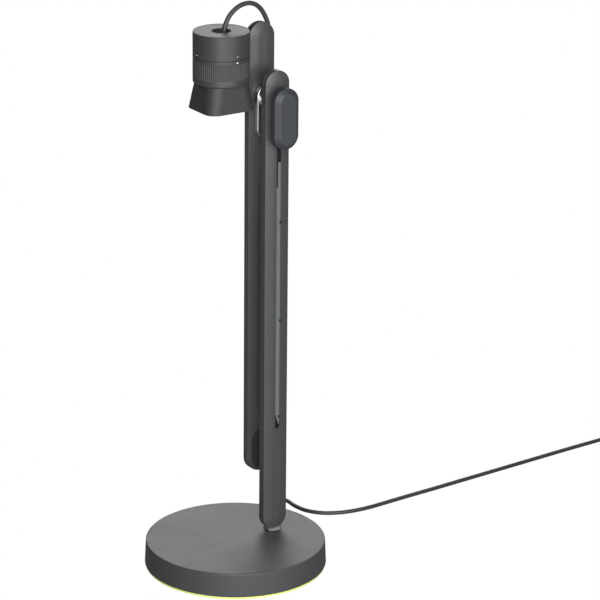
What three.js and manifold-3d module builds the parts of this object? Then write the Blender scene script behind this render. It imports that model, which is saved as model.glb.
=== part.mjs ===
import * as THREE from 'three';
import { mergeVertices } from 'three/addons/utils/BufferGeometryUtils.js';
import Module from 'manifold-3d';

// A desk document camera: a weighted round base, an upright mast with a slotted face, a carriage that
// slides on the mast, a long arm that swings and slides on the carriage, and a camera head that stays
// level at the arm's end.
// Units are millimetres and +Z is up. The origin is on the table under the middle of the base.
// -Y is the front, where the head hangs, and +X is the side with the hand grip.

// ---------------------------------------------------------------- driving dimensions

const GAP = 0.3; // clearance between pieces that touch
const BASE_RADIUS = 90;
const BASE_TOP_RADIUS = 88.95; // the side wall leans in a little
const BASE_TOP = 26.3;
const BASE_EDGE = 1.4; // rounding of the top edge
const COVER_WALL = 2.5;
const FOOT_RADIUS = 89.2;
const FOOT_THICK = 2;
const FLOOR_PLATE_TOP = 5;
const BALLAST_RADIUS = 74;
const BALLAST_THICK = 14;
const BASE_SCREW_CIRCLE = 80;
const BASE_SCREW_ANGLES = [90, 210, 330];
const CORD_ANGLE = 124; // where the cord leaves the base, counted from +X
const CORD_HEIGHT = 9;

const MAST_Y = 43.4; // the mast stands behind the middle of the base
const BAR_THICK = 12; // mast and arm, along X
const CROWN_RADIUS = 48; // their broad faces bulge
const BAR_WALL = 1.8;
const BAR_CHAMFER = 2; // cut corners of the space inside them
const MAST_WIDTH = 26.8;
const MAST_BOTTOM = 27.6;
const MAST_TOP = 499.7;
const SLOT_OFFSET = 1.2; // the grip-side slot sits behind the mast's middle line
const SLOT_WIDTH = 5;
const SLOT_BOTTOM = 135;
const SLOT_TOP = 480;
const CLIP_PITCH = 100.6;
const CLIP_FIRST = 147.3;

const COLLAR_RADIUS = 8.75;
const COLLAR_TOP = 33.2;
const SHAFT_RADIUS = 6;
const STUB_RADIUS = 3.8;

const PIVOT_Z = 466; // height of the arm's pivot on the carriage
const PLATE_WIDTH = 20;
const PLATE_BOTTOM = 428.6;
const PLATE_TOP = 480.2;
const GRIP_WIDTH = 27;
const GRIP_BOTTOM = 425;
const GRIP_TOP = 485.3;
const GRIP_INNER_X = 12.8;
const GRIP_OUTER_X = 22.5;
const GRIP_FLANK = [4, 5]; // the sloping edge round its face: depth and width

const ARM_X = -28.2;
const ARM_WIDTH = 28.8;
const ARM_BOTTOM = 80.8;
const ARM_TOP = 540.8;
const ARM_PIVOT_Z = 525.7; // the head turns about this line, near the middle of the arm's round end
const SHAFT_SLOT_WIDTH = 9.2; // the mast's slot for the pivot shaft
const ARM_SLOT_WIDTH = 5;
const ARM_SLOT_OFFSET = 1.3;
const ARM_SLOT_BOTTOM = 160;
const ARM_SLOT_TOP = 476;

const HEAD_Y = 0.4;
const HEAD_RADIUS = 27.3;
const HEAD_TOP = 537.5;
const HEAD_SEAM = 513.6;
const RING_BOTTOM = 488;
const HOOD_BOTTOM = 461.6;
const HEAD_HOLE = 9.4;

const CORD_DIAMETER = 4.2;
const LOOP_DIAMETER = 4.6;
const COIL_CENTRE = [-86, 568];
const COIL_MIDDLE = 23; // radius at the middle of its turns
const COIL_ACROSS = 3; // turns side by side
const COIL_LAYERS = 3;
const COIL_BOTTOM = 0.9;

// ---------------------------------------------------------------- materials

function finish(color, roughness, metalness) {
  return new THREE.MeshStandardMaterial({ color, roughness, metalness });
}

const graphite = finish(0x5a5d60, 0.55, 0.1);
const graphiteHead = finish(0x66696c, 0.55, 0.1);
const softGrip = finish(0x4c5054, 0.7, 0);
const chrome = finish(0xe6e8ea, 0.12, 1);
const steel = finish(0x9a9da1, 0.35, 1);
const castIron = finish(0x3b3c3e, 0.8, 0.6);
const lime = finish(0xd9e36a, 0.6, 0);
const rubber = finish(0x1d1e20, 0.85, 0);
const nylon = finish(0xe4e2da, 0.5, 0);
const blackPlastic = finish(0x17181a, 0.5, 0);
const railGrey = finish(0x7c8083, 0.4, 0.3);
const cordGrey = finish(0x3a3c40, 0.65, 0);
const glass = finish(0x1a2233, 0.05, 0);
const board = finish(0x1f4d33, 0.6, 0);
const lightWindow = finish(0xf4f6f2, 0.4, 0);

// ---------------------------------------------------------------- solids and booleans

const wasm = await Module();
wasm.setup();

/** Signed volume of an indexed triangle list, positive when its faces point out. */
function signedVolume(position, index) {
  const a = new THREE.Vector3();
  const b = new THREE.Vector3();
  const c = new THREE.Vector3();
  let sum = 0;
  for (let i = 0; i < index.length; i += 3) {
    a.fromBufferAttribute(position, index[i]);
    b.fromBufferAttribute(position, index[i + 1]);
    c.fromBufferAttribute(position, index[i + 2]);
    sum += a.dot(b.cross(c)) / 6;
  }
  return sum;
}

/** A closed geometry as a manifold solid: vertices merged, slivers dropped, faces turned outwards. */
function solid(geometry) {
  const bare = geometry.clone();
  bare.deleteAttribute('normal');
  bare.deleteAttribute('uv');
  const merged = mergeVertices(bare, 1e-4);
  const corners = merged.index.array;
  const triangles = [];
  for (let i = 0; i < corners.length; i += 3) {
    const [a, b, c] = corners.slice(i, i + 3);
    if (a !== b && b !== c && c !== a) triangles.push(a, b, c);
  }
  if (signedVolume(merged.attributes.position, triangles) < 0) triangles.reverse();
  const vertProperties = new Float32Array(merged.attributes.position.array);
  const mesh = new wasm.Mesh({ numProp: 3, vertProperties, triVerts: new Uint32Array(triangles) });
  return new wasm.Manifold(mesh);
}

/** A manifold solid back as a three.js geometry. */
function geometryOf(body) {
  const mesh = body.getMesh();
  const geometry = new THREE.BufferGeometry();
  geometry.setAttribute('position', new THREE.BufferAttribute(new Float32Array(mesh.vertProperties), 3));
  geometry.setIndex(Array.from(mesh.triVerts));
  geometry.computeVertexNormals();
  return geometry;
}

function cut(body, ...tools) {
  return tools.reduce((rest, tool) => rest.subtract(tool), body);
}

function join(body, ...others) {
  return others.reduce((sum, other) => sum.add(other), body);
}

// ---------------------------------------------------------------- shapes

const ALONG_X = new THREE.Matrix4().makeBasis(
  new THREE.Vector3(0, 1, 0),
  new THREE.Vector3(0, 0, 1),
  new THREE.Vector3(1, 0, 0),
);

/** A turned body about the Z axis from [radius, z] points. A ring's profile closes on itself. */
function turned(profile, segments = 48) {
  const points = profile.map(([r, z]) => new THREE.Vector2(r, z));
  const hollow = profile[0][0] > 0;
  if (hollow) points.push(points[0].clone());
  const geometry = new THREE.LatheGeometry(points, segments);
  return geometry.rotateX(Math.PI / 2);
}

/** The same about the X axis, from [radius, x] points, at height z and offset y. */
function turnedAlongX(profile, y, z, segments = 24) {
  return turned(profile, segments).rotateY(Math.PI / 2).translate(0, y, z);
}

function box(x0, x1, y0, y1, z0, z1) {
  const geometry = new THREE.BoxGeometry(x1 - x0, y1 - y0, z1 - z0);
  return geometry.translate((x0 + x1) / 2, (y0 + y1) / 2, (z0 + z1) / 2);
}

/** A bar along Z whose section is a rectangle with cut corners, given by its half sizes. */
function chamferedBar(halfX, halfY, chamfer, z0, z1) {
  const section = new THREE.Shape();
  section.moveTo(halfX, chamfer - halfY);
  section.lineTo(halfX, halfY - chamfer);
  section.lineTo(halfX - chamfer, halfY);
  section.lineTo(chamfer - halfX, halfY);
  section.lineTo(-halfX, halfY - chamfer);
  section.lineTo(-halfX, chamfer - halfY);
  section.lineTo(chamfer - halfX, -halfY);
  section.lineTo(halfX - chamfer, -halfY);
  return new THREE.ExtrudeGeometry(section, { depth: z1 - z0, bevelEnabled: false }).translate(0, 0, z0);
}

/** A rod along X. */
function rodX(radius, x0, x1, y, z, segments = 16) {
  return turnedAlongX([[0, x0], [radius, x0], [radius, x1], [0, x1]], y, z, segments);
}

/** A rod along Z. */
function rodZ(radius, z0, z1, x, y, segments = 24) {
  return turned([[0, z0], [radius, z0], [radius, z1], [0, z1]], segments).translate(x, y, 0);
}

/** A rod along Y. */
function rodY(radius, y0, y1, x, z, segments = 20) {
  const rod = turned([[0, -y1], [radius, -y1], [radius, -y0], [0, -y0]], segments);
  return rod.rotateX(Math.PI / 2).translate(x, 0, z);
}

/** A hexagonal nut's body along X or Z is a six-sided rod. */
function hexNutX(radius, bore, x0, x1, y, z) {
  return geometryOf(cut(solid(rodX(radius, x0, x1, y, z, 6)), solid(rodX(bore, x0 - 1, x1 + 1, y, z))));
}

/** Outline of an upright bar with round ends, in the Y-Z plane. */
function pillShape(width, bottom, top, y = 0, arcSegments = 20) {
  const radius = width / 2;
  const shape = new THREE.Shape();
  for (let i = 0; i <= arcSegments; i += 1) {
    const angle = (Math.PI * i) / arcSegments;
    shape.lineTo(y + radius * Math.cos(angle), top - radius + radius * Math.sin(angle));
  }
  for (let i = 0; i <= arcSegments; i += 1) {
    const angle = Math.PI + (Math.PI * i) / arcSegments;
    shape.lineTo(y + radius * Math.cos(angle), bottom + radius + radius * Math.sin(angle));
  }
  shape.curves.shift();
  return shape;
}

/** A round-ended upright bar. Stations are [x, inset] pairs: how far its outline draws in at each x. */
function pill(width, bottom, top, stations, y = 0, arcSegments = 20) {
  const steps = stations.length - 1;
  const shape = pillShape(width, bottom, top, y, arcSegments);
  const geometry = new THREE.ExtrudeGeometry(shape, { depth: steps, steps, bevelEnabled: false });
  const position = geometry.attributes.position;
  const radius = width / 2;
  for (let i = 0; i < position.count; i += 1) {
    const [x, inset] = stations[Math.round(position.getZ(i))];
    const v = position.getY(i);
    const centre = THREE.MathUtils.clamp(v, bottom + radius, top - radius);
    const keep = 1 - inset / radius;
    position.setXYZ(i, x, y + (position.getX(i) - y) * keep, centre + (v - centre) * keep);
  }
  geometry.computeVertexNormals();
  return geometry;
}

/** Stations of a bar from x0 to x1 with quarter-round edges. */
function rounded(x0, x1, radius, count = 4) {
  const stations = [];
  for (let i = 0; i <= count; i += 1) {
    const angle = (Math.PI / 2) * (i / count);
    stations.push([x0 + radius * (1 - Math.cos(angle)), radius * (1 - Math.sin(angle))]);
  }
  const far = stations.map(([x, inset]) => [x0 + x1 - x, inset]).reverse();
  if (Math.abs(far[0][0] - stations[count][0]) < 1e-6) far.shift();
  return [...stations, ...far];
}

function flat(x0, x1) {
  return [[x0, 0], [x1, 0]];
}

/** A round-cornered rectangle lofted along Z. Levels are {z, x, y, r}: height, half sizes, corner radius. */
function roundedLoft(levels, cornerSegments = 6) {
  const { x, y, r } = levels[0];
  const shape = new THREE.Shape();
  const corners = [[x - r, y - r, 0], [r - x, y - r, 1], [r - x, r - y, 2], [x - r, r - y, 3]];
  for (const [cx, cy, quarter] of corners) {
    for (let i = 0; i <= cornerSegments; i += 1) {
      const angle = (Math.PI / 2) * (quarter + i / cornerSegments);
      shape.lineTo(cx + r * Math.cos(angle), cy + r * Math.sin(angle));
    }
  }
  shape.curves.shift();
  const steps = levels.length - 1;
  const geometry = new THREE.ExtrudeGeometry(shape, { depth: steps, steps, bevelEnabled: false });
  const position = geometry.attributes.position;
  for (let i = 0; i < position.count; i += 1) {
    const level = levels[Math.round(position.getZ(i))];
    const place = (value, half, target) => {
      const centre = THREE.MathUtils.clamp(value, r - half, half - r);
      return centre * ((target - level.r) / (half - r)) + (value - centre) * (level.r / r);
    };
    position.setXYZ(i, place(position.getX(i), x, level.x), place(position.getY(i), y, level.y), level.z);
  }
  geometry.computeVertexNormals();
  return geometry;
}

/** A round tube along a smooth curve through the points. */
function tube(points, diameter, steps, sides) {
  const section = new THREE.Shape();
  for (let i = 0; i < sides; i += 1) {
    const angle = (2 * Math.PI * i) / sides;
    section.lineTo((diameter / 2) * Math.cos(angle), (diameter / 2) * Math.sin(angle));
  }
  section.curves.shift();
  const places = points.map((p) => new THREE.Vector3(...p));
  const extrudePath = new THREE.CatmullRomCurve3(places, false, 'centripetal');
  return new THREE.ExtrudeGeometry(section, { steps, extrudePath });
}

/** A machine screw along +X: head first, then shank. */
function screwAlongX(headX, headRadius, shankX, shankRadius, endX, y, z) {
  return turnedAlongX(
    [
      [0, headX], [headRadius, headX], [headRadius, shankX],
      [shankRadius, shankX], [shankRadius, endX], [0, endX],
    ],
    y,
    z,
    12,
  );
}

function part(name, geometry, material) {
  const clean = geometryOf(solid(geometry));
  const mesh = new THREE.Mesh(clean, material);
  mesh.name = name;
  return mesh;
}

function cutPart(name, body, material) {
  const mesh = new THREE.Mesh(geometryOf(body), material);
  mesh.name = name;
  return mesh;
}

// ---------------------------------------------------------------- base

const SCREW_HEAD_RADIUS = 3.2;
const CORD_LINE = new THREE.Matrix4()
  .makeRotationZ(THREE.MathUtils.degToRad(CORD_ANGLE))
  .setPosition(0, 0, CORD_HEIGHT);

/** Something turned about the line on which the cord leaves the base. */
function alongCordLine(profile) {
  return turned(profile, 16).rotateY(Math.PI / 2).applyMatrix4(CORD_LINE);
}

function baseScrewPlaces() {
  return BASE_SCREW_ANGLES.map((degrees) => {
    const angle = THREE.MathUtils.degToRad(degrees);
    return [BASE_SCREW_CIRCLE * Math.cos(angle), BASE_SCREW_CIRCLE * Math.sin(angle)];
  });
}

function baseCover() {
  const bottom = FOOT_THICK + GAP;
  const inner = BASE_TOP - COVER_WALL;
  const profile = [[0, BASE_TOP]];
  for (let i = 0; i <= 3; i += 1) {
    const angle = (Math.PI / 2) * (1 - i / 3);
    const r = BASE_TOP_RADIUS - BASE_EDGE + BASE_EDGE * Math.cos(angle);
    profile.push([r, BASE_TOP - BASE_EDGE + BASE_EDGE * Math.sin(angle)]);
  }
  profile.push([BASE_RADIUS, bottom]);
  profile.push([BASE_RADIUS - COVER_WALL, bottom]);
  profile.push([BASE_TOP_RADIUS - COVER_WALL, inner - 1.5]);
  profile.push([BASE_TOP_RADIUS - COVER_WALL - 1.5, inner]);
  profile.push([0, inner]);
  let cover = solid(turned(profile, 64));
  for (const [x, y] of baseScrewPlaces()) {
    cover = join(cover, solid(rodZ(4, FLOOR_PLATE_TOP + GAP, inner + 1, x, y, 24)));
    cover = cut(cover, solid(rodZ(1.8, FLOOR_PLATE_TOP, 18, x, y, 16)));
  }
  const shaftHole = solid(rodZ(9 + GAP, inner - 2, BASE_TOP + 1, 0, MAST_Y));
  const cordHole = solid(alongCordLine([[0, 84], [3.7, 84], [3.7, 92], [0, 92]]));
  return cut(cover, shaftHole, cordHole);
}

function floorPlate() {
  const bottom = FOOT_THICK + GAP;
  const radius = BASE_RADIUS - COVER_WALL - GAP;
  const top = FLOOR_PLATE_TOP;
  let plate = solid(turned([[0, bottom], [radius, bottom], [radius - 0.2, top], [0, top]], 64));
  for (const [x, y] of baseScrewPlaces()) {
    plate = cut(plate, solid(rodZ(SCREW_HEAD_RADIUS + GAP, bottom - 1, 4.1, x, y, 24)));
    plate = cut(plate, solid(rodZ(1.8, 0, 6, x, y, 16)));
  }
  return plate;
}

function baseScrew() {
  const head = SCREW_HEAD_RADIUS;
  return turned([[0, 2.4], [head, 2.4], [head, 3.8], [1.5, 3.8], [1.5, 16], [0, 16]], 12);
}

function ballast() {
  const bottom = FLOOR_PLATE_TOP + GAP;
  const top = bottom + BALLAST_THICK;
  const edge = BALLAST_RADIUS - 1;
  const disc = turned([
    [0, bottom], [edge, bottom], [BALLAST_RADIUS, bottom + 1],
    [BALLAST_RADIUS, top - 1], [edge, top], [0, top],
  ], 48);
  return cut(solid(disc), solid(rodZ(17, 0, 30, 0, MAST_Y)));
}

function footRing() {
  const soft = 0.5;
  return turned([
    [66, 0],
    [FOOT_RADIUS - soft, 0],
    [FOOT_RADIUS, soft],
    [FOOT_RADIUS, FOOT_THICK],
    [66, FOOT_THICK],
  ], 64);
}

function swivelBushing() {
  const bush = turned([[6.3, 21.2], [13, 21.2], [13, 23.5], [9, 23.5], [9, 26], [6.3, 26]], 28);
  return bush.translate(0, MAST_Y, 0);
}

function cordGland() {
  return alongCordLine([
    [2.4, 84.2], [4, 84.2], [4, 85.6], [3.4, 85.6], [3.4, 90.4],
    [4, 90.8], [4, 92], [2.9, 105.6], [2.4, 105.6],
  ]);
}

const base = new THREE.Group();
base.add(cutPart('base_cover', baseCover(), graphite));
base.add(cutPart('floor_plate', floorPlate(), steel));
base.add(cutPart('ballast', ballast(), castIron));
base.add(part('foot_ring', footRing(), lime));
base.add(part('swivel_bushing', swivelBushing(), nylon));
base.add(part('cord_gland', cordGland(), rubber));
baseScrewPlaces().forEach(([x, y], i) => {
  const screw = part(`base_screw_${i + 1}`, baseScrew(), steel);
  screw.position.set(x, y, 0);
  base.add(screw);
});

// ---------------------------------------------------------------- USB cord, lying on the table

const CORD_ROUTE = [
  [-59.3, 87.9, 9], [-65.8, 93.6, 8], [-76.1, 97.1, 5.8], [-89.5, 98.4, 3.8], [-101.5, 101.8, 2.6],
  [-109, 109.4, 2.3], [-109.1, 118.9, 2.2], [-99.4, 124.4, 2.2], [-84, 124.2, 2.2], [-66.5, 127.5, 2.2],
  [-52.5, 138, 2.2], [-44, 153, 2.2], [-40, 170, 2.2], [-39, 187, 2.2],
  [-40, 204, 2.2], [-42.5, 238, 2.2], [-44.5, 272, 2.2], [-47, 306, 2.2], [-49.5, 341, 2.2], [-52, 375, 2.2],
  [-54.5, 409, 2.2], [-57, 443, 2.2], [-59.2, 477, 2.2], [-61, 511, 2.2], [-62.3, 547.8, 2.2],
];
const PLUG_Z = COIL_BOTTOM + COIL_LAYERS * CORD_DIAMETER + GAP + 3.1;

function coil() {
  const half = (COIL_ACROSS * CORD_DIAMETER) / 2;
  const bottom = COIL_BOTTOM;
  const top = COIL_BOTTOM + COIL_LAYERS * CORD_DIAMETER;
  const soft = 1.2;
  const profile = [
    [COIL_MIDDLE - half, bottom + soft], [COIL_MIDDLE - half + soft, bottom],
    [COIL_MIDDLE + half - soft, bottom], [COIL_MIDDLE + half, bottom + soft],
    [COIL_MIDDLE + half, top - soft], [COIL_MIDDLE + half - soft, top],
    [COIL_MIDDLE - half + soft, top], [COIL_MIDDLE - half, top - soft],
  ];
  return turned(profile, 32);
}

/** A flat band round the coil's section, at the coil's far side from the plug. */
function coilTie() {
  const half = (COIL_ACROSS * CORD_DIAMETER) / 2 + GAP;
  const top = COIL_BOTTOM + COIL_LAYERS * CORD_DIAMETER + GAP;
  const thick = COIL_BOTTOM - GAP - 0.1;
  const near = half + 1.2; // the ring curves inwards over the band's width
  const outer = box(-4, 4, -COIL_MIDDLE - half - thick, near + thick - COIL_MIDDLE, 0.1, top + thick);
  const inner = box(-5, 5, -COIL_MIDDLE - half, near - COIL_MIDDLE, COIL_BOTTOM - GAP, top);
  return cut(solid(outer), solid(inner));
}

function plugBody() {
  const levels = [
    { z: -11, x: 2.4, y: 2.4, r: 2.3 }, { z: -8, x: 2.9, y: 4.2, r: 2.6 }, { z: -6, x: 3.1, y: 5.6, r: 2.8 },
    { z: 10, x: 3.1, y: 5.8, r: 2.8 }, { z: 11, x: 2.7, y: 5.4, r: 2.4 },
  ];
  return roundedLoft(levels, 6).rotateY(-Math.PI / 2);
}

function plugShell() {
  const levels = [{ z: 11.3, x: 1.25, y: 4.15, r: 1.2 }, { z: 18, x: 1.25, y: 4.15, r: 1.2 }];
  return roundedLoft(levels, 6).rotateY(-Math.PI / 2);
}

const cord = new THREE.Group();
cord.add(part('usb_cord', tube(CORD_ROUTE, CORD_DIAMETER, 66, 8), cordGrey));
const wound = new THREE.Group();
wound.position.set(COIL_CENTRE[0], COIL_CENTRE[1], 0);
wound.add(part('usb_cord_coil', coil(), cordGrey));
wound.add(cutPart('coil_tie', coilTie(), rubber));
const plug = new THREE.Group();
plug.position.set(2, COIL_MIDDLE - 1, PLUG_Z);
plug.add(part('usb_plug_body', plugBody(), cordGrey));
plug.add(part('usb_plug_shell', plugShell(), steel));
wound.add(plug);
cord.add(wound);

// ---------------------------------------------------------------- mast

const HALF = BAR_THICK / 2;
const INNER_HALF = HALF - BAR_WALL;
const MAST_SCREWS = [95, 489];

/** Stations of a bar with flat narrow sides and two broad faces that are arcs. */
function crowned(width, count = 5) {
  const reach = width / 2;
  const side = Math.asin(reach / CROWN_RADIUS);
  const stations = [];
  for (let i = 0; i <= count; i += 1) {
    const angle = side * (1 - i / (count + 0.5));
    stations.push([HALF - CROWN_RADIUS * (1 - Math.cos(angle)), reach - CROWN_RADIUS * Math.sin(angle)]);
  }
  return [...stations.map(([x, inset]) => [-x, inset]).reverse(), ...stations];
}

/** A hollow round-ended bar about x = 0, open inside from a height up. */
function hollowBar(width, bottom, top, hollowFrom) {
  const outer = pill(width, bottom, top, crowned(width), 0, 16);
  const inner = pill(
    width - 2 * BAR_WALL,
    hollowFrom,
    top - BAR_WALL,
    rounded(-INNER_HALF, INNER_HALF, BAR_CHAMFER, 1),
    0,
    10,
  );
  return cut(solid(outer), solid(inner));
}

/** Screw posts across the bar, with a counterbore in the -X face. */
function withPosts(bar, heights) {
  let body = bar;
  for (const z of heights) {
    body = join(body, solid(rodX(3.4, -INNER_HALF - 1, INNER_HALF + 1, 0, z)));
    body = cut(body, solid(rodX(1.4, -HALF, 3, 0, z, 16)), solid(rodX(2.7, -HALF - 1, -INNER_HALF, 0, z)));
  }
  return body;
}

/** The two shells that a bar splits into, at x = 0. */
function shells(bar) {
  const reach = 1000;
  const front = bar.intersect(solid(box(GAP / 2, 50, -reach, reach, -reach, reach)));
  const rear = bar.intersect(solid(box(-50, -GAP / 2, -reach, reach, -reach, reach)));
  return { front, rear };
}

function shellScrew(z) {
  return screwAlongX(-HALF + 0.3, 2.3, -INNER_HALF - GAP, 1.1, 2.6, 0, z);
}

function clipHeights() {
  return [0, 1, 2].map((i) => CLIP_FIRST + i * CLIP_PITCH);
}

const SLOT_REAR_EDGE = SLOT_OFFSET + SLOT_WIDTH / 2;

/** A round block with two flats that face the mast's broad sides. */
function collarSlice(radius, halfX, z0, z1) {
  const round = solid(rodZ(radius, z0, z1, 0, 0, 40));
  return round.intersect(solid(box(-halfX, halfX, -radius, radius, z0, z1)));
}

function mastShells() {
  let bar = withPosts(hollowBar(MAST_WIDTH, MAST_BOTTOM, MAST_TOP, MAST_BOTTOM + BAR_WALL), MAST_SCREWS);
  const gripSlot = pill(SLOT_WIDTH, SLOT_BOTTOM, SLOT_TOP, flat(0, HALF + 1), SLOT_OFFSET, 10);
  const armSlot = pill(SHAFT_SLOT_WIDTH, SLOT_BOTTOM, SLOT_TOP, flat(-HALF - 1, 0), 0, 10);
  bar = cut(bar, solid(gripSlot), solid(armSlot));
  bar = cut(bar, collarSlice(COLLAR_RADIUS + GAP, INNER_HALF, MAST_BOTTOM - 5, COLLAR_TOP + GAP));
  bar = cut(bar, solid(rodZ(STUB_RADIUS + GAP, 30, 40, 0, 0)));
  for (const z of clipHeights()) {
    bar = cut(bar, solid(rodX(1.6, 0, HALF + 1, SLOT_REAR_EDGE - 0.1, z, 20)));
  }
  return shells(bar);
}

function swivelCollar() {
  const seat = BASE_TOP + GAP;
  const shaft = solid(rodZ(SHAFT_RADIUS, 11, seat, 0, 0, 28));
  const stub = solid(rodZ(STUB_RADIUS, seat, 62, 0, 0, 28));
  const collar = collarSlice(COLLAR_RADIUS, INNER_HALF - GAP, seat, COLLAR_TOP);
  return cut(join(collar, shaft, stub), solid(rodZ(2.4, 10, 63, 0, 0, 28)));
}

function swivelNut() {
  const nut = solid(turned([[0, 13.4], [10.5, 13.4], [10.5, 19.4], [0, 19.4]], 6));
  return cut(nut, solid(rodZ(SHAFT_RADIUS + GAP, 10, 30, 0, 0)));
}

const STRIP_STEP = 384; // below the carriage's travel the strip fills the slot
const STRIP_FRONT = -1;

/** The strip beside the grip's slot, pointed at its lower end and notched for its clips. */
function slotStrip() {
  const y0 = 0.4;
  const y1 = SLOT_REAR_EDGE - GAP;
  const strip = new THREE.Shape();
  strip.moveTo(y1, 144);
  strip.lineTo(y1, 409);
  strip.lineTo(y0, 409);
  strip.lineTo(y0, STRIP_STEP);
  strip.lineTo(STRIP_FRONT, STRIP_STEP);
  strip.lineTo(STRIP_FRONT, 150);
  strip.lineTo(y1 - 0.9, 139.5);
  strip.lineTo(y1 - 0.5, 139.5);
  const geometry = new THREE.ExtrudeGeometry(strip, { depth: 1.1, bevelEnabled: false });
  geometry.applyMatrix4(ALONG_X).translate(4.5, 0, 0);
  const notches = clipHeights().map((z) => solid(rodX(1.6, 4, 6, SLOT_REAR_EDGE - 0.1, z, 20)));
  return cut(solid(geometry), ...notches);
}

function stripClip() {
  return turnedAlongX([[0, 4.4], [1.3, 4.4], [1.3, 5.7], [0.9, 6], [0, 6]], SLOT_REAR_EDGE - 0.1, 0, 12);
}

const mast = new THREE.Group();
mast.position.set(0, MAST_Y, 0);
const mastHalves = mastShells();
mast.add(cutPart('mast_shell_front', mastHalves.front, graphite));
mast.add(cutPart('mast_shell_rear', mastHalves.rear, graphite));
mast.add(cutPart('swivel_collar', swivelCollar(), chrome));
mast.add(cutPart('swivel_nut', swivelNut(), steel));
mast.add(part('thrust_washer', turned([[6.3, 19.7], [12, 19.7], [12, 20.9], [6.3, 20.9]], 32), nylon));
mast.add(cutPart('slot_strip', slotStrip(), railGrey));
clipHeights().forEach((z, i) => {
  const clip = part(`strip_clip_${i + 1}`, stripClip(), blackPlastic);
  clip.position.z = z;
  mast.add(clip);
});
MAST_SCREWS.forEach((z, i) => mast.add(part(`mast_screw_${i + 1}`, shellScrew(z), steel)));

// ---------------------------------------------------------------- carriage, sliding in the mast

const SPRING_Z = 444;
const GRIP_SCREWS = [440, 470];
const GRIP_SCREW_Y = 4.6;
const SLIDER_BOTTOM = 434; // glide pads and the arm's runner
const SLIDER_TOP = 474;
const NECK_BOTTOM = 436;

function carriageBlock() {
  const block = solid(chamferedBar(3.9, 10.4, 0.6, 430, 478));
  const neck = solid(box(3.5, GRIP_INNER_X - 2 * GAP, -1, 0.1, NECK_BOTTOM, SLIDER_TOP));
  const pocket = cut(solid(rodX(8.6, -5, 1.6, 0, SPRING_Z, 24)), solid(rodX(3.4, -6, 2, 0, SPRING_Z)));
  const bore = solid(rodX(4.3, -5, 5, 0, PIVOT_Z));
  const nutSeat = solid(rodX(6.6, 1.6, 3.9, 0, PIVOT_Z));
  return cut(join(block, neck), pocket, bore, nutSeat);
}

function counterSpring() {
  return turnedAlongX([[3.8, -3.6], [8.2, -3.6], [8.2, 1.2], [3.8, 1.2]], 0, SPRING_Z);
}

function glidePad(side) {
  const y = side * (MAST_WIDTH / 2 - 2.4);
  const half = 0.3;
  return box(-2, 2, y - half, y + half, SLIDER_BOTTOM, SLIDER_TOP);
}

function gripBase() {
  const plate = solid(pill(17, 430.2, 480.2, rounded(6.4, GRIP_INNER_X - GAP, 1, 1), SLOT_OFFSET, 12));
  const neckHole = solid(box(5, GRIP_INNER_X, -1.3, 0.4, NECK_BOTTOM - GAP, SLIDER_TOP + GAP));
  const screws = GRIP_SCREWS.flatMap((z) => [
    solid(rodX(2.4, 6, 8, GRIP_SCREW_Y, z, 20)),
    solid(rodX(1.4, 6, GRIP_INNER_X, GRIP_SCREW_Y, z, 16)),
  ]);
  return cut(plate, neckHole, ...screws);
}

function gripBody() {
  const wall = 2;
  const y = SLOT_OFFSET;
  const [deep, wide] = GRIP_FLANK;
  const outline = [
    [GRIP_INNER_X, 0.8], [GRIP_INNER_X + 0.8, 0], [GRIP_OUTER_X - deep, 0], [GRIP_OUTER_X - 0.3, wide - 0.4],
    [GRIP_OUTER_X, wide],
  ];
  const outer = solid(pill(GRIP_WIDTH, GRIP_BOTTOM, GRIP_TOP, outline, y, 14));
  const space = [[GRIP_INNER_X - 1, 0], [GRIP_OUTER_X - deep - 0.6, 0], [GRIP_OUTER_X - wall, wide - wall]];
  const inner = solid(pill(GRIP_WIDTH - 2 * wall, GRIP_BOTTOM + wall, GRIP_TOP - wall, space, y, 10));
  let grip = cut(outer, inner);
  for (const z of GRIP_SCREWS) {
    grip = join(grip, solid(rodX(2.8, GRIP_INNER_X, GRIP_OUTER_X - 1, GRIP_SCREW_Y, z)));
    grip = cut(grip, solid(rodX(1.4, GRIP_INNER_X - 1, 19, GRIP_SCREW_Y, z, 16)));
  }
  return grip;
}

function gripScrew() {
  return screwAlongX(6.6, 2.1, 7.7, 1.1, 18, GRIP_SCREW_Y, 0);
}

/** The chrome pivot: threaded end, journal in the carriage, wide boss, journal in the plate. */
function pivotShaft() {
  return turnedAlongX([
    [0, -20.6], [4, -20.6], [4, -14.9], [7.1, -14.9], [7.5, -14.5], [7.5, -6.8], [7.1, -6.4], [4, -6.4],
    [4, 1.2], [3, 1.2], [3, 3.5], [0, 3.5],
  ], 0, PIVOT_Z, 28);
}

const carriage = new THREE.Group();
carriage.position.set(0, MAST_Y, 0);
carriage.add(cutPart('carriage_block', carriageBlock(), blackPlastic));
carriage.add(part('counter_spring', counterSpring(), steel));
carriage.add(part('glide_pad_front', glidePad(-1), nylon));
carriage.add(part('glide_pad_rear', glidePad(1), nylon));
carriage.add(cutPart('grip_base', gripBase(), blackPlastic));
carriage.add(cutPart('grip_body', gripBody(), softGrip));
carriage.add(part('pivot_shaft', pivotShaft(), chrome));
carriage.add(part('pivot_nut', hexNutX(6.1, 3.3, 1.9, 3.6, 0, PIVOT_Z), steel));
GRIP_SCREWS.forEach((z, i) => {
  const screw = part(`grip_screw_${i + 1}`, gripScrew(), steel);
  screw.position.z = z;
  carriage.add(screw);
});

// ---------------------------------------------------------------- runner, turning and sliding in the arm

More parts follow.
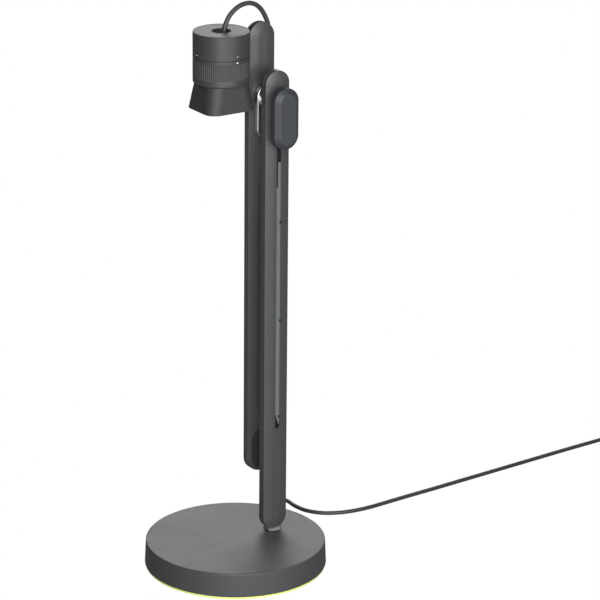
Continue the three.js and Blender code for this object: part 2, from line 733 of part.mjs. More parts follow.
function pivotPlate() {
  const plate = solid(pill(PLATE_WIDTH, PLATE_BOTTOM, PLATE_TOP, rounded(6.6, 12.9, 1.4, 2), 0, 14));
  const half = ARM_SLOT_WIDTH / 2 - 0.4;
  const neck = solid(box(0.6, 7.5, ARM_SLOT_OFFSET - half, ARM_SLOT_OFFSET + half, 438, 472));
  return cut(join(plate, neck), solid(rodX(4.3, 7.2, 14, 0, PIVOT_Z)));
}

function armRunner() {
  const block = solid(chamferedBar(INNER_HALF - GAP, 11.9, 1.6, SLIDER_BOTTOM, SLIDER_TOP));
  const half = ARM_SLOT_WIDTH / 2 - 0.1;
  return cut(block, solid(box(0.3, 5, ARM_SLOT_OFFSET - half, ARM_SLOT_OFFSET + half, 437.7, 472.3)));
}

const runner = new THREE.Group();
runner.position.set(ARM_X, MAST_Y, 0);
runner.add(cutPart('pivot_plate', pivotPlate(), chrome));
runner.add(cutPart('arm_runner', armRunner(), nylon));

// ---------------------------------------------------------------- arm

const ARM_SCREWS = [142, 500];
const PAD_WIDTH = 20;
const PAD_BOTTOM = 84.9;
const PAD_TOP = 125.5;
const PAD_DEPTH = 1.8;
const CABLE_Y = 9.2; // the camera cable runs down behind the head's pivot
const ARM_TILT_RANGE = 100; // degrees
const TONGUE_HEIGHT = 6.8;
const TONGUE_THICK = 4.6;

/** The space that the head's tongue sweeps about its pivot, from pointing forwards to past the arm's end. */
function tongueSlot() {
  const reach = 22;
  const half = TONGUE_HEIGHT / 2 + 2 * GAP;
  const last = THREE.MathUtils.degToRad(180 - ARM_TILT_RANGE);
  const sweep = new THREE.Shape();
  sweep.moveTo(0, -half);
  sweep.lineTo(-reach, -half);
  for (let i = 0; i <= 10; i += 1) {
    const angle = Math.PI + ((last - Math.PI) * i) / 10;
    sweep.lineTo(reach * Math.cos(angle), reach * Math.sin(angle));
  }
  const aside = new THREE.Vector2(Math.sin(last), -Math.cos(last)).multiplyScalar(half);
  sweep.lineTo(reach * Math.cos(last) + aside.x, reach * Math.sin(last) + aside.y);
  sweep.lineTo(aside.x, aside.y);
  const width = TONGUE_THICK + 2 * GAP;
  const geometry = new THREE.ExtrudeGeometry(sweep, { depth: width, bevelEnabled: false });
  return solid(geometry.applyMatrix4(ALONG_X).translate(-width / 2, 0, ARM_PIVOT_Z));
}

function armShells() {
  let bar = withPosts(hollowBar(ARM_WIDTH, ARM_BOTTOM, ARM_TOP, PAD_TOP + 2), ARM_SCREWS);
  const slot = pill(ARM_SLOT_WIDTH, ARM_SLOT_BOTTOM, ARM_SLOT_TOP, flat(0, HALF + 1), ARM_SLOT_OFFSET, 10);
  const padSeat = pill(PAD_WIDTH, PAD_BOTTOM, PAD_TOP, flat(HALF - PAD_DEPTH, HALF + 1), 0, 16);
  bar = cut(bar, solid(slot), solid(padSeat), tongueSlot());
  bar = cut(bar, solid(rodX(2.4, -5.3, 5.3, 0, ARM_PIVOT_Z)));
  bar = cut(bar, solid(rodZ(2.9, ARM_PIVOT_Z, ARM_TOP + 2, 0, CABLE_Y, 20)));
  bar = cut(bar, solid(rodZ(2.9, ARM_TOP - 4.5, ARM_TOP + 2, 0, CABLE_Y - 1.3, 20)));
  return shells(bar);
}

function endPad() {
  const back = HALF - PAD_DEPTH + GAP;
  return pill(PAD_WIDTH - 0.6, PAD_BOTTOM + 0.3, PAD_TOP - 0.3, rounded(back, back + 0.45, 0.2, 1), 0, 16);
}

function headWasher(side) {
  const near = side * 2.6;
  const far = side * 3.9;
  return turnedAlongX([[2.4, near], [6, near], [6, far], [2.4, far]], 0, ARM_PIVOT_Z, 24);
}

const arm = new THREE.Group();
arm.position.set(ARM_X, MAST_Y, 0);
const armHalves = armShells();
arm.add(cutPart('arm_shell_front', armHalves.front, graphite));
arm.add(cutPart('arm_shell_rear', armHalves.rear, graphite));
arm.add(part('arm_end_pad', endPad(), rubber));
arm.add(part('head_pivot_pin', rodX(2.1, -5, 5, 0, ARM_PIVOT_Z), steel));
arm.add(part('head_washer_inner', headWasher(1), nylon));
arm.add(part('head_washer_outer', headWasher(-1), nylon));
arm.add(part('arm_cable', tube([[0, CABLE_Y, 535.4], [0, CABLE_Y, 484]], LOOP_DIAMETER, 4, 10), cordGrey));
ARM_SCREWS.forEach((z, i) => arm.add(part(`arm_screw_${i + 1}`, shellScrew(z), steel)));

// ---------------------------------------------------------------- camera head

const TONGUE_Y = MAST_Y - HEAD_Y;
const HOLE_Y = 2.3; // the cable's hole in the grommet
const LED_Z = 517;
const INDEX_Z = 511.7; // the zoom ring's dot
const INDEX_ANGLE = 3; // degrees from +X at rest

function headHousing() {
  const r = HEAD_RADIUS;
  const wall = 2;
  const ring = turned([
    [r - wall, HEAD_SEAM + 0.2], [r, HEAD_SEAM + 0.2], [r, HEAD_TOP - 0.8], [r - 0.3, HEAD_TOP - 0.25],
    [r - 0.8, HEAD_TOP], [HEAD_HOLE, HEAD_TOP], [HEAD_HOLE, HEAD_TOP - wall], [r - wall, HEAD_TOP - wall],
  ], 48);
  const gate = TONGUE_HEIGHT / 2 + GAP;
  const tongueGate = solid(box(-2.6, 2.6, 20, 30, ARM_PIVOT_Z - gate, ARM_PIVOT_Z + gate));
  const ledHole = solid(rodY(0.9, -30, -20, 0, LED_Z));
  return cut(solid(ring), tongueGate, ledHole);
}

function headBracket() {
  const flange = solid(box(-8, 8, 20.5, 23.2, 514, 534));
  const thick = TONGUE_THICK / 2;
  const half = TONGUE_HEIGHT / 2;
  const bar = solid(box(-thick, thick, 23, TONGUE_Y, ARM_PIVOT_Z - half, ARM_PIVOT_Z + half));
  const eye = solid(rodX(6.4, -thick, thick, TONGUE_Y, ARM_PIVOT_Z, 20));
  return cut(join(flange, bar, eye), solid(rodX(2.4, -4, 4, TONGUE_Y, ARM_PIVOT_Z)));
}

function cableGrommet() {
  const cup = turned([[0, 529], [9.1, 529], [9.1, 536.6], [8.1, 536.6], [8.1, 530.6], [0, 530.6]], 28);
  return cut(solid(cup), solid(rodZ(2.7, 528, 532, 0, HOLE_Y, 24)));
}

function headChassis() {
  return turned([[22.4, 489], [24.8, 489], [24.8, 513.2], [6, 513.2], [6, 511], [22.4, 511]], 32);
}

function lensBarrel() {
  return turned([[7.5, 470], [10.2, 470], [10.2, 496], [7.5, 496]], 28);
}

function lensElement(z, edge, crown) {
  const profile = [[0, z - crown]];
  for (let i = 1; i <= 3; i += 1) profile.push([(7.2 * i) / 3, z - crown * (1 - (i / 3) ** 2)]);
  for (let i = 3; i >= 0; i -= 1) profile.push([(7.2 * i) / 3, z + edge + crown * 0.6 * (1 - (i / 3) ** 2)]);
  return turned(profile, 28);
}

function hood() {
  const outer = roundedLoft([
    { z: RING_BOTTOM - GAP, x: 21.8, y: 22.4, r: 13 },
    { z: HOOD_BOTTOM, x: 24.4, y: 26.8, r: 11.7 },
  ].reverse());
  const inner = roundedLoft([
    { z: HOOD_BOTTOM - 1, x: 22.9, y: 25.3, r: 10.4 },
    { z: 484.4, x: 20.4, y: 21, r: 11.6 },
  ]);
  const lensHole = solid(rodZ(10.5, 480, 490, 0, 0, 40));
  return cut(solid(outer), solid(inner), lensHole);
}

function zoomRing() {
  const r = HEAD_RADIUS;
  const wall = 2.2;
  const ring = turned([
    [r - wall, RING_BOTTOM], [r - 0.7, RING_BOTTOM], [r, RING_BOTTOM + 0.9], [r, HEAD_SEAM - 0.2],
    [r - wall, HEAD_SEAM - 0.2],
  ], 48);
  const dotHole = solid(rodX(1.1, 20, 30, 0, INDEX_Z, 20));
  return cut(solid(ring), dotHole);
}

const head = new THREE.Group();
head.position.set(ARM_X, HEAD_Y, 0);
head.add(cutPart('head_housing', headHousing(), graphiteHead));
head.add(cutPart('head_bracket', headBracket(), steel));
head.add(cutPart('cable_grommet', cableGrommet(), rubber));
head.add(part('head_chassis', headChassis(), blackPlastic));
head.add(part('lens_barrel', lensBarrel(), blackPlastic));
head.add(part('front_lens', lensElement(472.6, 1.6, 1.4), glass));
head.add(part('rear_lens', lensElement(488, 1.4, 0.9), glass));
head.add(part('status_light', rodY(0.6, -HEAD_RADIUS + 0.05, -HEAD_RADIUS + 1.9, 0, LED_Z), lightWindow));
head.add(part('image_sensor', box(-5, 5, -4, 4, 494.9, 496.5), blackPlastic));
head.add(part('sensor_board', box(-13, 13, -11, 11, 496.9, 498.5), board));
head.add(cutPart('lens_hood', hood(), graphite));
const zoom = new THREE.Group();
zoom.rotation.z = THREE.MathUtils.degToRad(INDEX_ANGLE);
zoom.add(cutPart('zoom_ring', zoomRing(), graphiteHead));
zoom.add(part('zoom_index', rodX(0.8, 25.6, HEAD_RADIUS - 0.05, 0, INDEX_Z, 20), lightWindow));
head.add(zoom);

// ---------------------------------------------------------------- cable loop from the head to the arm

const LOOP_ROUTE = [
  [0, 2.7, 531], [0, 3.2, 535], [0, 4.4, 540.5], [0, 6.6, 546], [0, 10.6, 551.8], [0, 16.2, 556.4],
  [0, 21.8, 559.2], [0, 27.3, 560.3], [0, 32.9, 560.1], [0, 38.4, 558], [0, 42.8, 554.7],
  [0, 46.4, 550.3], [0, 49.3, 545.4], [0, 51.5, 540.6], [0, 52.5, 537.6], [0, 52.6, 535.9],
];
const loop = new THREE.Group();
loop.position.set(ARM_X, 0, 0);
loop.add(part('cable_loop', tube(LOOP_ROUTE, LOOP_DIAMETER, 22, 10), cordGrey));

// ---------------------------------------------------------------- the whole camera

const documentCamera = new THREE.Group();
documentCamera.add(base, cord, mast, carriage, runner, arm, head, loop);

export default documentCamera;
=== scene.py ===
"""A desk document camera, folded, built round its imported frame. Shapes are made in millimetres."""
import math

import bmesh
import bpy
from mathutils import Matrix, Vector

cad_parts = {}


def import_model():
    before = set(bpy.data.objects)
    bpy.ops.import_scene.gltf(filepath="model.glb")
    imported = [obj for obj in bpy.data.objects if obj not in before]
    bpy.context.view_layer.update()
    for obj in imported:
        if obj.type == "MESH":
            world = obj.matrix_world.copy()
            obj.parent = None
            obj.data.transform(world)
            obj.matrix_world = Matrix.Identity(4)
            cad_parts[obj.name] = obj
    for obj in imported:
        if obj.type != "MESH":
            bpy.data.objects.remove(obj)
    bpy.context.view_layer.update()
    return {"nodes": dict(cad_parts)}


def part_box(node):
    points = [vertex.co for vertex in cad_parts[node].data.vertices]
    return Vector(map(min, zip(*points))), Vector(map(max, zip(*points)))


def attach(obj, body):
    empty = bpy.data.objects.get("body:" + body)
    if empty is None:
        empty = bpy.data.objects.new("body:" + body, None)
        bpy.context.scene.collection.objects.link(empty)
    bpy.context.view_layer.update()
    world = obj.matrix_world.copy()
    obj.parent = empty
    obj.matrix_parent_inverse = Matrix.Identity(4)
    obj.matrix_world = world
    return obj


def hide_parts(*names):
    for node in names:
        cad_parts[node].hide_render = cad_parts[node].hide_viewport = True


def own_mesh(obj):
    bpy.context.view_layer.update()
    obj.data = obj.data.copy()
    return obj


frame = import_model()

MM = 0.001
for imported in bpy.data.materials:
    imported.name = "cad_" + imported.name


def box_mm(*nodes):
    """Lowest and highest corner of some CAD nodes together, in millimetres."""
    boxes = [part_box(node) for node in nodes]
    low = Vector([min(b[0][i] for b in boxes) / MM for i in range(3)])
    high = Vector([max(b[1][i] for b in boxes) / MM for i in range(3)])
    return low, high


# ------ camera

VIEW_AZIMUTH = math.radians(58)  # the view is turned this far round from the object's front
EYE_BACK = 2881.3  # millimetres from the origin, and above the table
EYE_UP = 1290.0
LENS = 189.69
SENSOR_WIDTH = 36
PITCH = 0.3383  # radians: looking down, to the right, and tilted
YAW = 0.02143
ROLL = 0.009518


def from_view(right, away, up):
    """A direction or place given as seen by the viewer, in the frame's axes."""
    c = math.cos(VIEW_AZIMUTH)
    s = math.sin(VIEW_AZIMUTH)
    return Vector((right * c - away * s, right * s + away * c, up))


def new_object(name, data):
    obj = bpy.data.objects.new(name, data)
    bpy.context.scene.collection.objects.link(obj)
    return obj


def make_camera():
    forward = from_view(math.sin(YAW) * math.cos(PITCH), math.cos(YAW) * math.cos(PITCH), -math.sin(PITCH))
    level = from_view(math.cos(YAW), -math.sin(YAW), 0)
    upward = level.cross(forward)
    right = math.cos(ROLL) * level + math.sin(ROLL) * upward
    up = math.cos(ROLL) * upward - math.sin(ROLL) * level
    data = bpy.data.cameras.new("camera")
    data.lens = LENS
    data.sensor_width = SENSOR_WIDTH
    data.clip_start = 0.1
    data.clip_end = 50
    camera = new_object("camera", data)
    turn = Matrix((right, up, -forward)).transposed().to_4x4()
    camera.matrix_world = Matrix.Translation(from_view(0, -EYE_BACK, EYE_UP) * MM) @ turn
    bpy.context.scene.camera = camera


make_camera()


# ------ mesh tools

MERGE_WITHIN = 1e-4
NO_LENGTH = 1e-5
FLAT_FACE_WEIGHT = 80  # how strongly flat faces keep their own normals


def loft(loops, closed=False, capped=False):
    """A surface through closed loops of as many points each. closed joins the last loop to the first."""
    bm = bmesh.new()
    rows = [[bm.verts.new(p) for p in loop] for loop in loops]
    pairs = list(zip(rows, rows[1:]))
    if closed:
        pairs.append((rows[-1], rows[0]))
    for a, b in pairs:
        for i in range(len(a)):
            bm.faces.new((a[i - 1], a[i], b[i], b[i - 1]))
    if capped:
        bm.faces.new(rows[0])
        bm.faces.new(rows[-1])
    bmesh.ops.remove_doubles(bm, verts=bm.verts, dist=MERGE_WITHIN)
    bmesh.ops.dissolve_degenerate(bm, edges=bm.edges, dist=NO_LENGTH)
    bmesh.ops.recalc_face_normals(bm, faces=bm.faces)
    return bm


def circle(x, y, z, radius, count):
    angles = [2 * math.pi * i / count for i in range(count)]
    return [Vector((x + radius * math.cos(a), y + radius * math.sin(a), z)) for a in angles]


def lathe(profile, x=0.0, y=0.0, count=32, closed=False):
    """A turned body about an upright axis through (x, y), from (radius, z) points."""
    return loft([circle(x, y, z, max(r, 0.0), count) for r, z in profile], closed)


def along(bm, origin, direction):
    """Moves a body made about the Z axis at 0 onto a line: its Z axis runs along direction from origin."""
    turn = Vector((0, 0, 1)).rotation_difference(Vector(direction)).to_matrix().to_4x4()
    bm.transform(Matrix.Translation(origin) @ turn)
    return bm


def rod(radius, length, origin, direction, count=32):
    """A plain round bar along a line, mostly to cut or join with."""
    profile = [(0, 0), (radius, 0), (radius, length), (0, length)]
    return along(lathe(profile, count=count), origin, direction)


def block(low, high):
    bm = bmesh.new()
    bmesh.ops.create_cube(bm, size=1)
    size = Vector(high) - Vector(low)
    bm.transform(Matrix.Translation((Vector(low) + Vector(high)) / 2) @ Matrix.Diagonal((*size, 1)))
    return bm


class Pill:
    """An upright round-ended outline in a plane of constant x."""

    def __init__(self, y, bottom, top, width):
        self.y = y
        self.radius = width / 2
        self.low = bottom + self.radius
        self.high = top - self.radius

    @classmethod
    def of(cls, node):
        low, high = box_mm(node)
        return cls((low.y + high.y) / 2, low.z, high.z, high.y - low.y)

    def loop(self, x, inset, count=28):
        r = self.radius - inset
        points = []
        for centre, first in ((self.high, 0), (self.low, math.pi)):
            for i in range(count + 1):
                angle = first + math.pi * i / count
                points.append(Vector((x, self.y + r * math.cos(angle), centre + r * math.sin(angle))))
        return points


def pill_body(pill, profile):
    """A closed bar with flat ends, from (x, inset) points."""
    return loft([pill.loop(x, inset) for x, inset in profile], capped=True)


def rounded_box_loop(cx, cy, z, half_x, half_y, radius, count=14):
    points = []
    corners = ((half_x, half_y), (-half_x, half_y), (-half_x, -half_y), (half_x, -half_y))
    for quarter, (x, y) in enumerate(corners):
        for i in range(count + 1):
            angle = math.pi / 2 * (quarter + i / count)
            px = cx + x - math.copysign(radius, x) + radius * math.cos(angle)
            py = cy + y - math.copysign(radius, y) + radius * math.sin(angle)
            points.append(Vector((px, py, z)))
    return points


def applied(obj):
    """Turns an object's modifiers into mesh."""
    graph = bpy.context.evaluated_depsgraph_get()
    mesh = bpy.data.meshes.new_from_object(obj.evaluated_get(graph))
    obj.modifiers.clear()
    obj.data = mesh


def to_object(name, bm):
    bm.transform(Matrix.Scale(MM, 4))
    mesh = bpy.data.meshes.new(name)
    bm.to_mesh(mesh)
    bm.free()
    return new_object(name, mesh)


def carve(obj, tools, operation):
    """Joins the tools to a mesh or cuts them out of it."""
    tools = [to_object("tool", bm) for bm in tools]
    for tool in tools:
        step = obj.modifiers.new("carve", "BOOLEAN")
        step.operation = operation
        step.solver = "EXACT"
        step.object = tool
    applied(obj)
    for tool in tools:
        bpy.data.objects.remove(tool)


def shade(obj, angle):
    """Smooth faces with sharp edges over the angle, and normals that keep the flat faces flat."""
    bm = bmesh.new()
    bm.from_mesh(obj.data)
    for face in bm.faces:
        face.smooth = True
    for edge in bm.edges:
        edge.smooth = len(edge.link_faces) == 2 and edge.calc_face_angle(0) < math.radians(angle)
    bm.to_mesh(obj.data)
    bm.free()
    flat = obj.modifiers.new("flat", "WEIGHTED_NORMAL")
    flat.keep_sharp = True
    flat.weight = FLAT_FACE_WEIGHT
    applied(obj)


def piece(name, bm, material, body, nodes=(), cutters=(), adders=(), angle=34):
    """A finished piece: cut, shaded, painted, riding on its body and standing for its CAD nodes."""
    obj = to_object(name, bm)
    if adders:
        carve(obj, adders, "UNION")
    if cutters:
        carve(obj, cutters, "DIFFERENCE")
    shade(obj, angle)
    settle(obj, material, body, nodes)
    return obj


def settle(obj, material, body, nodes):
    obj.data.materials.clear()
    obj.data.materials.append(MATERIALS[material])
    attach(obj, body)
    if nodes:
        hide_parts(*nodes)


# ------ materials

# Noise scales, in periods to the metre.
CLOUDS = 38
SMUDGES = 55
RUBBING = 160
PLATE_CLOUDS = 70
SCRATCHES = 900
SMUDGE_DEPTH = 0.025  # how far roughness varies either way
EDGE_REACH = 0.5 * MM
GRAIN_DEPTH = 0.1 * MM
SCRATCH_DEPTH = 0.02 * MM


def add(tree, kind, **values):
    node = tree.nodes.new(kind)
    for key, value in values.items():
        setattr(node, key, value)
    return node


def noise(tree, coords, scale, detail, stretch=None):
    """A noise texture in object space; stretch squeezes it along an axis."""
    source = coords
    if stretch:
        mapping = add(tree, "ShaderNodeMapping")
        mapping.inputs["Scale"].default_value = stretch
        tree.links.new(coords, mapping.inputs["Vector"])
        source = mapping.outputs["Vector"]
    node = add(tree, "ShaderNodeTexNoise")
    node.inputs["Scale"].default_value = scale
    node.inputs["Detail"].default_value = detail
    tree.links.new(source, node.inputs["Vector"])
    return node.outputs["Fac"]


def spread(tree, value, low, high, from_low=0.3, from_high=0.7):
    node = add(tree, "ShaderNodeMapRange")
    node.inputs["From Min"].default_value = from_low
    node.inputs["From Max"].default_value = from_high
    node.inputs["To Min"].default_value = low
    node.inputs["To Max"].default_value = high
    tree.links.new(value, node.inputs["Value"])
    return node.outputs["Result"]


def blend_color(tree, factor, first, second):
    node = tree.nodes.new("ShaderNodeMix")
    node.data_type = "RGBA"
    tree.links.new(factor, node.inputs["Factor"])
    for socket, value in ((node.inputs[6], first), (node.inputs[7], second)):
        if isinstance(value, tuple):
            socket.default_value = (*value, 1)
        else:
            tree.links.new(value, socket)
    return node.outputs[2]


def times(tree, a, b):
    node = add(tree, "ShaderNodeMath", operation="MULTIPLY")
    tree.links.new(a, node.inputs[0])
    tree.links.new(b, node.inputs[1])
    return node.outputs["Value"]


def edge_mask(tree, radius):
    """1 on convex and concave edges, 0 on flat faces."""
    bevel = add(tree, "ShaderNodeBevel", samples=4)
    bevel.inputs["Radius"].default_value = radius
    geometry = add(tree, "ShaderNodeNewGeometry")
    dot = add(tree, "ShaderNodeVectorMath", operation="DOT_PRODUCT")
    tree.links.new(bevel.outputs["Normal"], dot.inputs[0])
    tree.links.new(geometry.outputs["Normal"], dot.inputs[1])
    return spread(tree, dot.outputs["Value"], 1, 0, from_low=0.9, from_high=0.998)


def shader(name):
    material = bpy.data.materials.new(name)
    material.use_nodes = True
    tree = material.node_tree
    coords = add(tree, "ShaderNodeTexCoord").outputs["Object"]
    return material, tree, tree.nodes["Principled BSDF"], coords


def bumps(tree, bsdf, height, strength, depth):
    bump = add(tree, "ShaderNodeBump")
    bump.inputs["Strength"].default_value = strength
    bump.inputs["Distance"].default_value = depth
    tree.links.new(height, bump.inputs["Height"])
    tree.links.new(bump.outputs["Normal"], bsdf.inputs["Normal"])


def moulded(name, color, roughness, tone=0.05, grain=0.12, pitch=0.35, wear=0.25, specular=0.5):
    """Moulded plastic or rubber: eroded grain, faint cloudy tone, handling marks and paler rubbed edges."""
    material, tree, bsdf, coords = shader(name)
    dark = tuple(c * (1 - tone) for c in color)
    light = tuple(c * (1 + tone) for c in color)
    rubbed = tuple(min(1.0, c * (1 + 1.2 * wear) + 0.05 * wear) for c in color)
    cloud = noise(tree, coords, CLOUDS, 5)
    speck = noise(tree, coords, 1 / (pitch * MM), 2)
    base = blend_color(tree, spread(tree, cloud, 0, 1), dark, light)
    speckled = blend_color(tree, spread(tree, speck, 0, 0.35), base, dark)
    rubbing = spread(tree, noise(tree, coords, RUBBING, 4), 0.1, wear)
    worn = times(tree, edge_mask(tree, EDGE_REACH), rubbing)
    tree.links.new(blend_color(tree, worn, speckled, rubbed), bsdf.inputs["Base Color"])
    smudge = noise(tree, coords, SMUDGES, 6)
    varied = spread(tree, smudge, roughness - SMUDGE_DEPTH, roughness + SMUDGE_DEPTH)
    tree.links.new(varied, bsdf.inputs["Roughness"])
    bumps(tree, bsdf, speck, grain, GRAIN_DEPTH)
    bsdf.inputs["Specular IOR Level"].default_value = specular
    return material


def metal(name, color, roughness, scratch=0.05):
    """Bare or plated metal with fine upright scratches."""
    material, tree, bsdf, coords = shader(name)
    lines = noise(tree, coords, SCRATCHES, 4, stretch=(1, 1, 0.06))
    cloud = noise(tree, coords, PLATE_CLOUDS, 5)
    dark = tuple(c * 0.9 for c in color)
    tree.links.new(blend_color(tree, spread(tree, cloud, 0, 1), dark, color), bsdf.inputs["Base Color"])
    streaks = spread(tree, lines, roughness * 0.75, roughness * 1.35)
    tree.links.new(streaks, bsdf.inputs["Roughness"])
    bumps(tree, bsdf, lines, scratch, SCRATCH_DEPTH)
    bsdf.inputs["Metallic"].default_value = 1.0
    return material


def coated_glass():
    """Dark coated lens glass with a faint bloom and dust."""
    material, tree, bsdf, coords = shader("lens_glass")
    bloom = spread(tree, noise(tree, coords, 90, 3), 0, 1)
    blues = blend_color(tree, bloom, (0.012, 0.02, 0.05), (0.03, 0.02, 0.06))
    tree.links.new(blues, bsdf.inputs["Base Color"])
    dust = spread(tree, noise(tree, coords, 1500, 2), 0.02, 0.07, 0.5, 0.8)
    tree.links.new(dust, bsdf.inputs["Roughness"])
    bsdf.inputs["IOR"].default_value = 1.7
    bsdf.inputs["Coat Weight"].default_value = 1.0
    bsdf.inputs["Coat Tint"].default_value = (0.7, 0.75, 1.0, 1)
    return material


def window_paint():
    """The milky window of the lamp, and the paint of the dots."""
    material, tree, bsdf, coords = shader("light_window")
    milk = spread(tree, noise(tree, coords, 900, 2), 0, 1)
    whites = blend_color(tree, milk, (0.85, 0.87, 0.84), (0.95, 0.96, 0.93))
    tree.links.new(whites, bsdf.inputs["Base Color"])
    tree.links.new(spread(tree, milk, 0.25, 0.4, 0, 1), bsdf.inputs["Roughness"])
    bsdf.inputs["Subsurface Weight"].default_value = 0.2
    bsdf.inputs["Subsurface Radius"].default_value = (0.4 * MM, 0.4 * MM, 0.3 * MM)
    return material


MATERIALS = {
    "graphite": moulded("graphite", (0.039, 0.041, 0.043), 0.44, specular=0.75),
    # Painted light: the base's graphite is painted lighter than the mast's graphite, so the cover's side
    # reads brighter than its lighting makes it.
    "graphite_painted_lit_base": moulded("graphite_painted_lit_base", (0.048, 0.050, 0.053), 0.5, tone=0.03),
    # Painted shade: the hood's graphite is painted darker than the head's, standing in for the shade that the
    # ribbed ring above casts on the hood.
    "graphite_painted_shade_hood": moulded("graphite_painted_shade_hood", (0.029, 0.031, 0.033), 0.6, specular=0.4),
    "graphite_head": moulded("graphite_head", (0.036, 0.038, 0.041), 0.5, pitch=0.3),
    "soft_grip": moulded("soft_grip", (0.032, 0.035, 0.040), 0.55, grain=0.08, pitch=0.25),
    "chrome": metal("chrome", (0.76, 0.76, 0.77), 0.3, scratch=0.02),
    "steel": metal("steel", (0.45, 0.45, 0.46), 0.32),
    "cast_iron": moulded("cast_iron", (0.045, 0.045, 0.047), 0.7, tone=0.2, grain=0.6, pitch=1.2),
    "lime": moulded("lime", (0.70, 0.76, 0.20), 0.6, tone=0.03, wear=0.05),
    "rubber": moulded("rubber", (0.018, 0.018, 0.019), 0.6, tone=0.1, wear=0.3),
    "nylon": moulded("nylon", (0.70, 0.68, 0.62), 0.4, tone=0.02, grain=0.05, wear=0.1),
    "black_plastic": moulded("black_plastic", (0.012, 0.012, 0.013), 0.45, tone=0.1),
    "rail_grey": moulded("rail_grey", (0.115, 0.12, 0.125), 0.42, grain=0.05, pitch=0.3),
    "cord_grey": moulded("cord_grey", (0.03, 0.031, 0.034), 0.5, tone=0.08, grain=0.1, pitch=0.5, wear=0.1),
    "lens_glass": coated_glass(),
    "circuit_board": moulded("circuit_board", (0.02, 0.10, 0.05), 0.35, tone=0.15, pitch=0.8),
    "light_window": window_paint(),
}


# ------ free cords


def between(a, b, t, ta, tb):
    return a.lerp(b, (t - ta) / (tb - ta))


def smooth_path(points, per_span):
    """A centripetal Catmull-Rom curve through the points."""
    ends = [2 * points[0] - points[1], *points, 2 * points[-1] - points[-2]]
    line = []
    for i in range(len(points) - 1):
        p = ends[i:i + 4]
        t = [0.0]
        for a, b in zip(p, p[1:]):
            t.append(t[-1] + (b - a).length ** 0.5)
        for k in range(per_span):
            now = t[1] + (t[2] - t[1]) * k / per_span
            first = [between(p[j], p[j + 1], now, t[j], t[j + 1]) for j in range(3)]
            second = [between(first[j], first[j + 1], now, t[j], t[j + 2]) for j in range(2)]
            line.append(between(*second, now, t[1], t[2]))
    line.append(points[-1].copy())
    return line


CORD_ROUTE = [
    (-59.3, 87.9, 9), (-65.8, 93.6, 8), (-76.1, 97.1, 5.8), (-89.5, 98.4, 3.8), (-101.5, 101.8, 2.6),
    (-109, 109.4, 2.3), (-109.1, 118.9, 2.2), (-99.4, 124.4, 2.2), (-84, 124.2, 2.2), (-66.5, 127.5, 2.2),
    (-52.5, 138, 2.2), (-44, 153, 2.2), (-40, 170, 2.2), (-39, 187, 2.2),
    (-40, 204, 2.2), (-42.5, 238, 2.2), (-44.5, 272, 2.2), (-47, 306, 2.2), (-49.5, 341, 2.2),
    (-52, 375, 2.2), (-54.5, 409, 2.2), (-57, 443, 2.2), (-59.2, 477, 2.2), (-61, 511, 2.2),
    (-62.3, 547.8, 2.2),
]
CORD_ANGLE = math.radians(124)
CORD_OUT = Vector((math.cos(CORD_ANGLE), math.sin(CORD_ANGLE), 0))
CORD_HEIGHT = 9.0
CORD_EXIT = 92.0
CORD_STRAIGHT = 99.0  # the lead is still straight here, from the middle of the base
CORD_DIAMETER = 4.2
COIL_CENTRE = Vector((-86, 568, 0))
COIL_LOW = 3.0  # height of the lowest turns' middle
LANES = (27.2, 23.0, 18.8)
LEAD_IN = (-40.4, 31.1)  # where the lead meets the coil: degrees and radius
JOINED = -17
COIL_STARTS = -33
COIL_STEP = 10

# The winding, by degrees turned: (from, to, lane after, layer after). It goes in, out, and in again.
SHIFTS = [
    (283, 343, 1, 0), (643, 703, 2, 0), (943, 1003, 2, 1), (1243, 1303, 1, 1),
    (1603, 1663, 0, 1), (1903, 1963, 0, 2), (2203, 2263, 1, 2), (2563, 2623, 2, 2),
]
TAIL_LIFTS = 2805
LIFT_TAKES = 70
TAIL_LEAVES = 2863
TAIL = [(20.4, 0.6, 15.65), (22.9, 5.6, 15.95), (24, 10.5, 16.2)]
TAIL_BEND = (12.5, 10.5, 11.5)  # middle and radius of the last bend, before the plug
TAIL_RISE = 0.6
PLUG_HEIGHT = 16.9
PLUG_END_X = 7.0


def eased(share):
    share = min(max(share, 0), 1)
    return share * share * (3 - 2 * share)


def wound(turned):
    """A point of the coil, so many degrees round."""
    radius = LANES[0]
    layer = 0.0
    for start, end, lane, level in SHIFTS:
        share = eased((turned - start) / (end - start))
        radius += (LANES[lane] - radius) * share
        layer += (level - layer) * share
    lead = max(0, (JOINED - turned) / (JOINED - LEAD_IN[0]))
    radius += (LEAD_IN[1] - LANES[0]) * lead ** 3
    lift = eased((turned - TAIL_LIFTS) / LIFT_TAKES)
    angle = math.radians(turned)
    height = COIL_LOW + CORD_DIAMETER * (layer + lift) - 0.8 * lead
    return COIL_CENTRE + Vector((radius * math.cos(angle), radius * math.sin(angle), height))


def cord_line():
    """The whole lead's middle line: gland, table, coil, plug."""
    rise = Vector((0, 0, CORD_HEIGHT))
    start = [CORD_OUT * reach + rise for reach in (CORD_EXIT, CORD_STRAIGHT)]
    line = smooth_path([*start, *map(Vector, CORD_ROUTE)], 8)
    turns = [CORD_ROUTE[-1]] + [wound(t) for t in range(COIL_STARTS, TAIL_LEAVES, COIL_STEP)]
    x, y, r = TAIL_BEND
    bend = []
    for degrees in (22, 45, 67, 90):
        angle = math.radians(degrees)
        height = PLUG_HEIGHT - TAIL_RISE * (1 - degrees / 90)
        bend.append((x + r * math.cos(angle), y + r * math.sin(angle), height))
    tail = [COIL_CENTRE + Vector(point) for point in [*TAIL, *bend, (PLUG_END_X, y + r, PLUG_HEIGHT)]]
    return line[:-1] + smooth_path([Vector(p) for p in turns] + tail, 3)


